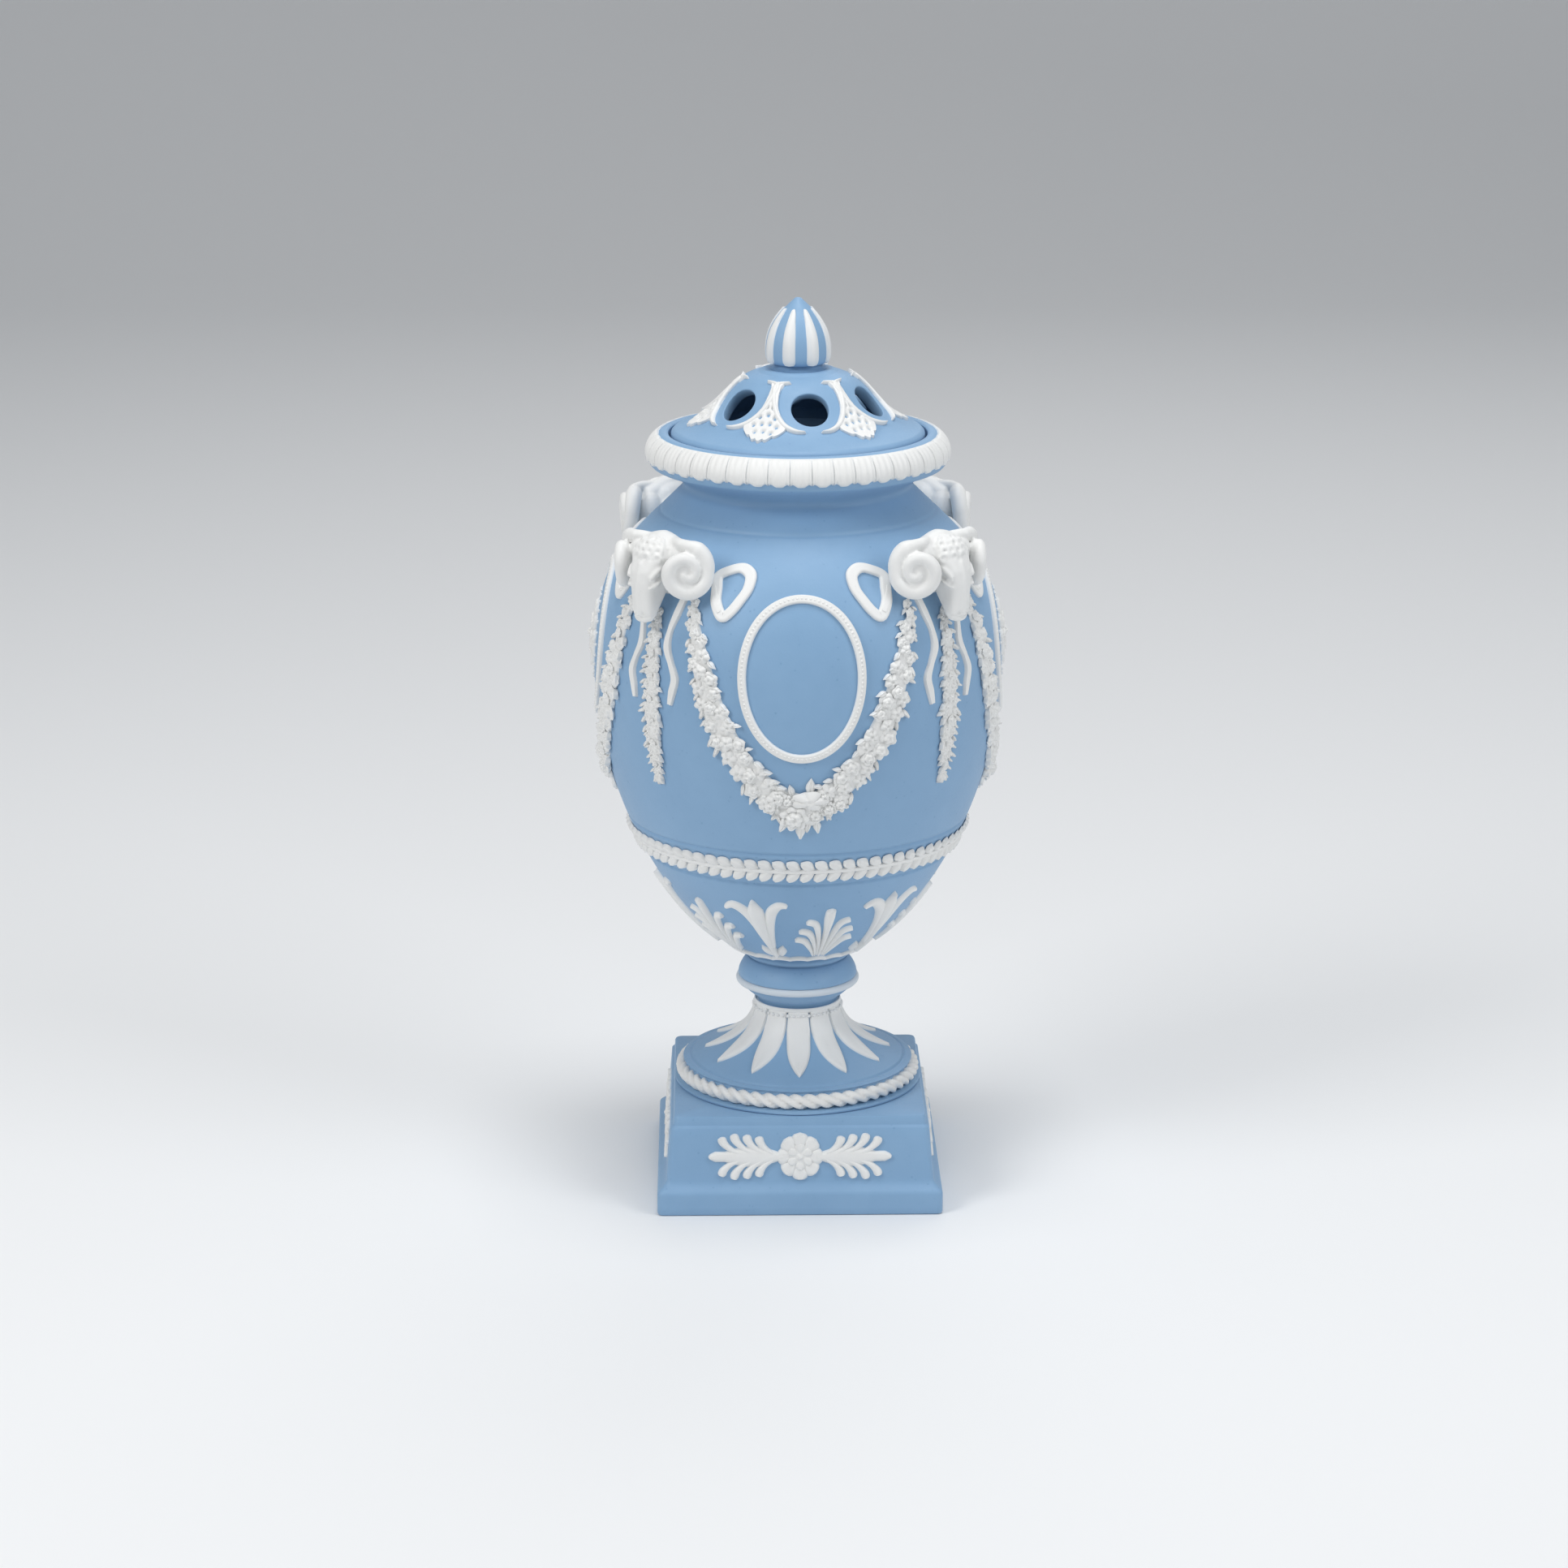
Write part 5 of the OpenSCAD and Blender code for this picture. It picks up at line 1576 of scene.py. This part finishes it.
        wing = Forms.stroke(on_hole(self.wing_way), self.wing_widths, 1.3, across=6, along=40, edge=2.2)

        def fan_shape(u: Array, v: Array) -> Tuple[Array, Array, Array]:
            """Gives points of the fan, pierced down to the dome, with a lobed lower edge."""
            foot = -15.0 + 5.2 * v * v + 1.3 * (1 - np.abs(np.cos(v * math.pi * 2.5)))
            y = self.fan_top + u * (foot - self.fan_top)
            x = -v * np.interp(y, self.fan_rows, self.fan_widths)
            out = 0.95 - 0.2 * np.abs(v) ** 4
            for px, py in self.fan_pits:
                out = out - 1.15 * np.exp(-((((x - px) / 0.72) ** 2 + ((y - py) / 0.9) ** 2) ** 2))
            return x, y, out

        fan = Bench.sheet(44, 60, fan_shape)
        crown = Forms.leaf(4.6, 2.0, 1.1, full=0.4, rib=0.2, across=4, along=6)
        stamps = [wing, wing.sized(-1, 1, 1), fan]
        stamps += [crown.turned(lean).moved(-0.8 * math.sin(math.radians(lean)), 6.6) for lean in (-24, 0, 24)]
        pendants = Relief("cover_pendants").ring(self.face, stamps, mid, self.holes, self.turn + 180.0 / self.holes)
        self.wares.relief(pendants.build(), "cover", "cover_palmettes")

    def build_finial(self) -> None:
        """Builds the collar, the bud and its stripes."""
        z = self.dome_z
        collar = np.array([(0.0, z), (9.3, z), (9.4, z + 0.15), (8.4, z + 0.45), (7.8, z + 0.9), (7.5, z + 1.6),
                           (0.0, z + 1.6)])
        self.wares.body(Bench.spun("finial_neck", collar, 96), "cover_lift", "finial_collar")
        tip = [(0.5, self.top - 0.06), (0.0, self.top)]
        profile = np.concatenate([[(0.0, self.bud_z)], self.bud_face.profile, tip])
        self.wares.body(Bench.spun("finial_bud", profile, 128), "cover", "finial")
        low, high = self.bud_face.up_to(self.bud_z + 0.4), self.bud_face.up_to(self.top - 3.2)
        half = math.pi / self.stripes

        def shape(u: Array, v: Array) -> Tuple[Array, Array, Array]:
            """Gives points of one stripe, round below and slender above."""
            y = u * (high - low)
            foot = np.sqrt(np.clip(1 - (1 - np.minimum(u / 0.08, 1)) ** 2, 0.01, 1))
            w = self.bud_face.radius(low + y) * half * 0.58 * foot
            w = w * (1 - 0.2 * smooth(u, 0.5, 1.0)) * np.sqrt(np.clip((1.02 - u) / 0.12, 0.02, 1))
            return v * w, y, 0.55 * (1 - 0.5 * np.abs(v) ** 3) + 0.07 * np.cos(v * math.pi * 2)

        stripe = Bench.sheet(8, 26, shape)
        stripes = Relief("finial_petals").ring(self.bud_face, [stripe], low, self.stripes,
                                               self.bud_turn + 180.0 / self.stripes)
        self.wares.relief(stripes.build(), "cover", "finial_stripes")


class Nodes:
    """Short ways to add and link shader nodes."""

    def __init__(self, tree: bpy.types.NodeTree) -> None:
        """Holds the tree that nodes are added to."""
        self.tree = tree

    def add(self, kind: str, **values: object) -> bpy.types.Node:
        """Adds a node and sets its properties."""
        node = self.tree.nodes.new(kind)
        for key, value in values.items():
            setattr(node, key, value)
        return node

    def link(self, a: Socket, b: Socket) -> None:
        """Links two sockets."""
        self.tree.links.new(a, b)

    def noise(self, coords: Socket, scale: float, detail: float, rough: float = 0.5) -> Socket:
        """Adds a noise.

        Args:
            coords: Places that it is read at.
            scale, detail, rough: Its fineness, octaves and harshness.

        Returns:
            Its value.
        """
        node = self.add("ShaderNodeTexNoise")
        node.inputs["Scale"].default_value = scale
        node.inputs["Detail"].default_value = detail
        node.inputs["Roughness"].default_value = rough
        self.link(coords, node.inputs["Vector"])
        return node.outputs["Fac"]

    def span(self, value: Socket, a: float, b: float, low: float, high: float) -> Socket:
        """Maps a value to another range.

        Args:
            value: What is mapped.
            a, b: Ends of its range.
            low, high: Ends of the new range.

        Returns:
            The mapped value.
        """
        node = self.add("ShaderNodeMapRange")
        for key, v in (("From Min", a), ("From Max", b), ("To Min", low), ("To Max", high)):
            node.inputs[key].default_value = v
        self.link(value, node.inputs["Value"])
        return node.outputs["Result"]

    def maths(self, how: str, a: Socket, b: Union[Socket, float]) -> Socket:
        """Joins two values and gives the result."""
        node = self.add("ShaderNodeMath", operation=how)
        self.link(a, node.inputs[0])
        if isinstance(b, (int, float)):
            node.inputs[1].default_value = b
        else:
            self.link(b, node.inputs[1])
        return node.outputs[0]

    def mix(self, share: Socket, a: Union[Socket, Tint], b: Union[Socket, Tint], how: str = "MIX") -> Socket:
        """Mixes two colours.

        Args:
            share: Share of the second one.
            a, b: The colours.
            how: Way of mixing.

        Returns:
            The mixed colour.
        """
        node = self.add("ShaderNodeMix", data_type="RGBA", blend_type=how)
        self.link(share, node.inputs[0])
        for value, socket in ((a, node.inputs[6]), (b, node.inputs[7])):
            if isinstance(value, tuple):
                socket.default_value = value
            else:
                self.link(value, socket)
        return node.outputs[2]

    def bump(self, height: Socket, strength: float, distance: float) -> Socket:
        """Adds a bump and gives its normal."""
        node = self.add("ShaderNodeBump")
        node.inputs["Strength"].default_value = strength
        node.inputs["Distance"].default_value = distance
        self.link(height, node.inputs["Height"])
        return node.outputs["Normal"]


def blank(name: str) -> Tuple[bpy.types.Material, Nodes, bpy.types.Node]:
    """Starts a finish.

    Args:
        name: Name of the finish.

    Returns:
        The material, the way to add its nodes, and its shader, which is linked to the output.
    """
    mat = bpy.data.materials.new(name)
    mat.use_nodes = True
    n = Nodes(mat.node_tree)
    n.tree.nodes.clear()
    out, skin = n.add("ShaderNodeOutputMaterial"), n.add("ShaderNodeBsdfPrincipled")
    n.link(skin.outputs["BSDF"], out.inputs["Surface"])
    return mat, n, skin


def biscuit_group() -> bpy.types.NodeTree:
    """Builds the effect that stonewares share: cloudy colour, fine grain, specks and their relief.

    Returns:
        A group with Colour, Shade, Cloud and Speck in, and Colour, Roughness and Height out.
    """
    tree = bpy.data.node_groups.new("biscuit_grain", "ShaderNodeTree")
    for name, kind in (("Colour", "NodeSocketColor"), ("Shade", "NodeSocketColor"), ("Cloud", "NodeSocketFloat"),
                       ("Speck", "NodeSocketFloat")):
        tree.interface.new_socket(name, in_out="INPUT", socket_type=kind)
    for name, kind in (("Colour", "NodeSocketColor"), ("Roughness", "NodeSocketFloat"), ("Height", "NodeSocketFloat")):
        tree.interface.new_socket(name, in_out="OUTPUT", socket_type=kind)
    n = Nodes(tree)
    into, out = n.add("NodeGroupInput"), n.add("NodeGroupOutput")
    where = n.add("ShaderNodeTexCoord").outputs["Object"]
    cloud = n.noise(where, 38.0, 3.0, 0.55)
    patch = n.noise(where, 190.0, 2.0)
    grain = n.noise(where, 1500.0, 2.0, 0.6)
    both = n.maths("ADD", n.span(cloud, 0.3, 0.7, 0.0, 0.7), n.span(patch, 0.3, 0.7, 0.0, 0.3))
    tone = n.mix(n.maths("MULTIPLY", both, into.outputs["Cloud"]), into.outputs["Colour"], into.outputs["Shade"])
    dots = n.add("ShaderNodeTexVoronoi", feature="F1")
    dots.inputs["Scale"].default_value = 420.0
    n.link(where, dots.inputs["Vector"])
    near = n.span(dots.outputs["Distance"], 0.08, 0.2, 1.0, 0.0)
    speck = n.maths("MULTIPLY", near, n.span(patch, 0.5, 0.66, 0.0, 1.0))
    tone = n.mix(n.maths("MULTIPLY", speck, into.outputs["Speck"]), tone, into.outputs["Shade"], "MULTIPLY")
    n.link(tone, out.inputs["Colour"])
    n.link(n.span(grain, 0.25, 0.75, 0.44, 0.62), out.inputs["Roughness"])
    n.link(n.maths("ADD", n.maths("MULTIPLY", grain, 0.6), n.maths("MULTIPLY", patch, 0.4)), out.inputs["Height"])
    return tree


@dataclass(frozen=True)
class StonewareFinish:
    """An unglazed stoneware: its colour, darker clouding, and a low-relief tint of thin edges and painted shade."""

    name: str
    colour: Colour
    shade: Colour
    cloud: float
    speck: float
    sheen: float
    thin_edge_and_painted_shade: Optional[Colour] = None

    def make(self, grain: bpy.types.NodeTree) -> bpy.types.Material:
        """Builds the finish.

        Args:
            grain: The shared grain effect.

        Returns:
            The material.
        """
        mat, n, skin = blank(self.name)
        mat.diffuse_color = (*self.colour, 1.0)
        skin.inputs["Specular IOR Level"].default_value = 0.55
        skin.inputs["Sheen Weight"].default_value = self.sheen
        skin.inputs["Sheen Roughness"].default_value = 0.6
        body = n.add("ShaderNodeGroup", node_tree=grain)
        body.inputs["Colour"].default_value = (*self.colour, 1.0)
        body.inputs["Shade"].default_value = (*self.shade, 1.0)
        body.inputs["Cloud"].default_value = self.cloud
        body.inputs["Speck"].default_value = self.speck
        tone = body.outputs["Colour"]
        # Painted shade: low relief, at its sunk edges and in pits, takes a bluish grey that stands partly for blue
        # showing through thin white and partly for shade in the crevice where relief meets the body.
        if self.thin_edge_and_painted_shade:
            lift = n.add("ShaderNodeAttribute", attribute_name="lift").outputs["Fac"]
            tone = n.mix(n.span(lift, 0.0, 0.6, 0.75, 0.0), tone, (*self.thin_edge_and_painted_shade, 1.0))
        n.link(tone, skin.inputs["Base Color"])
        n.link(body.outputs["Roughness"], skin.inputs["Roughness"])
        n.link(n.bump(body.outputs["Height"], 0.22, 0.2 * MM), skin.inputs["Normal"])
        return mat


@dataclass(frozen=True)
class FittingFinish:
    """A finish of the hidden bolt set."""

    name: str
    colour: Colour
    worn: Colour
    metal: float
    rough: Tuple[float, float]

    def make(self) -> bpy.types.Material:
        """Builds the finish with turned marks and tarnish."""
        mat, n, skin = blank(self.name)
        skin.inputs["Metallic"].default_value = self.metal
        where = n.add("ShaderNodeTexCoord").outputs["Object"]
        stain = n.noise(where, 160.0, 4.0)
        tone = n.mix(n.span(stain, 0.35, 0.7, 0.0, 1.0), (*self.colour, 1.0), (*self.worn, 1.0))
        n.link(tone, skin.inputs["Base Color"])
        n.link(n.span(stain, 0.3, 0.7, *self.rough), skin.inputs["Roughness"])
        n.link(n.bump(n.noise(where, 900.0, 2.0), 0.2, 0.1 * MM), skin.inputs["Normal"])
        return mat


@dataclass
class BoltSet:
    """The bolt, nut and washers that hold the stack together, kept as they are modelled in the frame."""

    nodes: Dict[str, bpy.types.Object]
    brass: FittingFinish = FittingFinish("bolt_brass", colour=(0.56, 0.4, 0.17), worn=(0.3, 0.2, 0.09), metal=1.0,
                                         rough=(0.28, 0.5))
    rubber: FittingFinish = FittingFinish("washer_rubber", colour=(0.035, 0.032, 0.03), worn=(0.06, 0.055, 0.05),
                                          metal=0.0, rough=(0.6, 0.85))

    def build(self) -> None:
        """Gives the bolt set its finishes."""
        brass, rubber = self.brass.make(), self.rubber.make()
        for name, mat in (("tie_bolt", brass), ("tie_nut", brass), ("head_washer", rubber), ("nut_washer", rubber)):
            mesh = self.nodes[name].data
            mesh.materials.clear()
            mesh.materials.append(mat)
            LOG.info("fitting %s", name)


@dataclass(frozen=True)
class Lamp:
    """A soft square lamp that looks at the vase."""

    name: str
    at: Tuple[float, float, float]
    size: float
    power: float
    colour: Colour = (1.0, 1.0, 1.0)
    look_z: float = 0.16

    def build(self) -> None:
        """Adds the lamp."""
        light = bpy.data.lights.new(self.name, "AREA")
        light.shape, light.size, light.energy, light.color = "SQUARE", self.size, self.power, self.colour
        obj = bpy.data.objects.new(self.name, light)
        obj.location = self.at
        x, y, z = -self.at[0], -self.at[1], self.look_z - self.at[2]
        obj.rotation_euler = (math.atan2(math.hypot(x, y), -z), 0.0, math.atan2(y, x) - math.pi / 2)
        bpy.context.collection.objects.link(obj)


@dataclass
class Studio:
    """Pale floor, soft lamps and the camera at the angle of the photograph."""

    floor_colour: Colour = (0.86, 0.87, 0.88)
    floor_size: float = 6.0
    backdrop: float = 3.0
    sweep: float = 1.2
    sky_colour: Colour = (0.93, 0.96, 1.0)
    sky_strength: float = 0.3
    camera_at: Tuple[float, float, float] = (-0.00457, -1.4, 0.527)
    camera_pitch: float = 74.39
    camera_turn: float = -1.0
    lens: float = 99.67
    lamps: Tuple[Lamp, ...] = (
        Lamp("key", (-1.15, -0.85, 1.15), 0.7, 10.5, (1.0, 0.99, 0.975)),
        Lamp("fill", (1.2, -0.8, 1.0), 0.8, 7.5, (0.97, 0.985, 1.0)),
        Lamp("top", (0.05, -0.2, 1.6), 0.6, 9.0),
        Lamp("back", (0.3, 1.2, 1.3), 1.0, 3.5))

    def build(self) -> None:
        """Builds the stage, the lamps and the camera."""
        self.build_floor()
        for lamp in self.lamps:
            lamp.build()
        self.build_sky()
        self.build_camera()

    def build_sky(self) -> None:
        """Builds the even light from all round."""
        world = bpy.data.worlds.new("studio")
        world.use_nodes = True
        sky = world.node_tree.nodes["Background"]
        sky.inputs["Color"].default_value = (*self.sky_colour, 1.0)
        sky.inputs["Strength"].default_value = self.sky_strength
        bpy.context.scene.world = world
        bpy.context.scene.view_settings.view_transform = "Standard"

    def build_camera(self) -> None:
        """Builds the camera."""
        cam = bpy.data.cameras.new("view")
        cam.lens, cam.sensor_width, cam.clip_start = self.lens, 36.0, 0.01
        obj = bpy.data.objects.new("view", cam)
        a = math.radians(self.camera_turn)
        x, y, z = self.camera_at
        obj.location = (x * math.cos(a) - y * math.sin(a), x * math.sin(a) + y * math.cos(a), z)
        obj.rotation_euler = (math.radians(self.camera_pitch), 0.0, a)
        bpy.context.collection.objects.link(obj)
        bpy.context.scene.camera = obj

    def build_floor(self) -> None:
        """Builds a floor that sweeps up into a backdrop."""
        Bench.clear_selection()
        bpy.ops.mesh.primitive_plane_add(size=self.floor_size, location=(0.0, 0.0, 0.0))
        floor = bpy.context.object
        floor.name = "floor"
        bpy.ops.object.mode_set(mode="EDIT")
        bpy.ops.mesh.select_all(action="DESELECT")
        bpy.ops.object.mode_set(mode="OBJECT")
        for edge in floor.data.edges:
            edge.select = all(floor.data.vertices[i].co.y > self.floor_size * 0.48 for i in edge.vertices)
        bpy.ops.object.mode_set(mode="EDIT")
        bpy.ops.mesh.select_mode(type="EDGE")
        bpy.ops.mesh.extrude_region_move(TRANSFORM_OT_translate={"value": (0.0, 0.0, self.backdrop)})
        bpy.ops.object.mode_set(mode="OBJECT")
        bend = floor.modifiers.new("sweep", "BEVEL")
        bend.width, bend.segments, bend.limit_method = self.sweep, 16, "ANGLE"
        bpy.ops.object.modifier_apply(modifier="sweep")
        Bench.soften(floor, 60.0)
        mat = bpy.data.materials.new("studio_floor")
        mat.use_nodes = True
        skin = mat.node_tree.nodes["Principled BSDF"]
        skin.inputs["Base Color"].default_value = (*self.floor_colour, 1.0)
        skin.inputs["Roughness"].default_value = 0.8
        floor.data.materials.append(mat)


def main() -> None:
    """Builds the vase on its frame, then the studio."""
    logging.basicConfig(level=logging.INFO, format="%(message)s")
    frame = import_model()
    grain = biscuit_group()
    blue = StonewareFinish("blue_stoneware", colour=(0.245, 0.42, 0.63), shade=(0.213, 0.378, 0.585), cloud=0.8,
                           speck=0.25, sheen=0.06)
    # The white's low-relief tint is partly blue showing through thin edges and partly painted shade at the foot of the
    # relief.
    white = StonewareFinish("white_stoneware", colour=(0.855, 0.86, 0.85), shade=(0.79, 0.79, 0.775), cloud=0.7,
                            speck=0.2, sheen=0.05, thin_edge_and_painted_shade=(0.6, 0.68, 0.76))
    wares = Wares(blue=blue.make(grain), white=white.make(grain))
    Plinth(wares).build()
    Socle(wares).build()
    vessel = Vessel(wares)
    vessel.build()
    Medallions(wares, vessel.face).build()
    Swags(wares, vessel.face).build()
    RamHeads(wares, vessel.face).build()
    Cover(wares).build()
    BoltSet(frame["nodes"]).build()
    Studio().build()


if __name__ == "__main__":
    main()
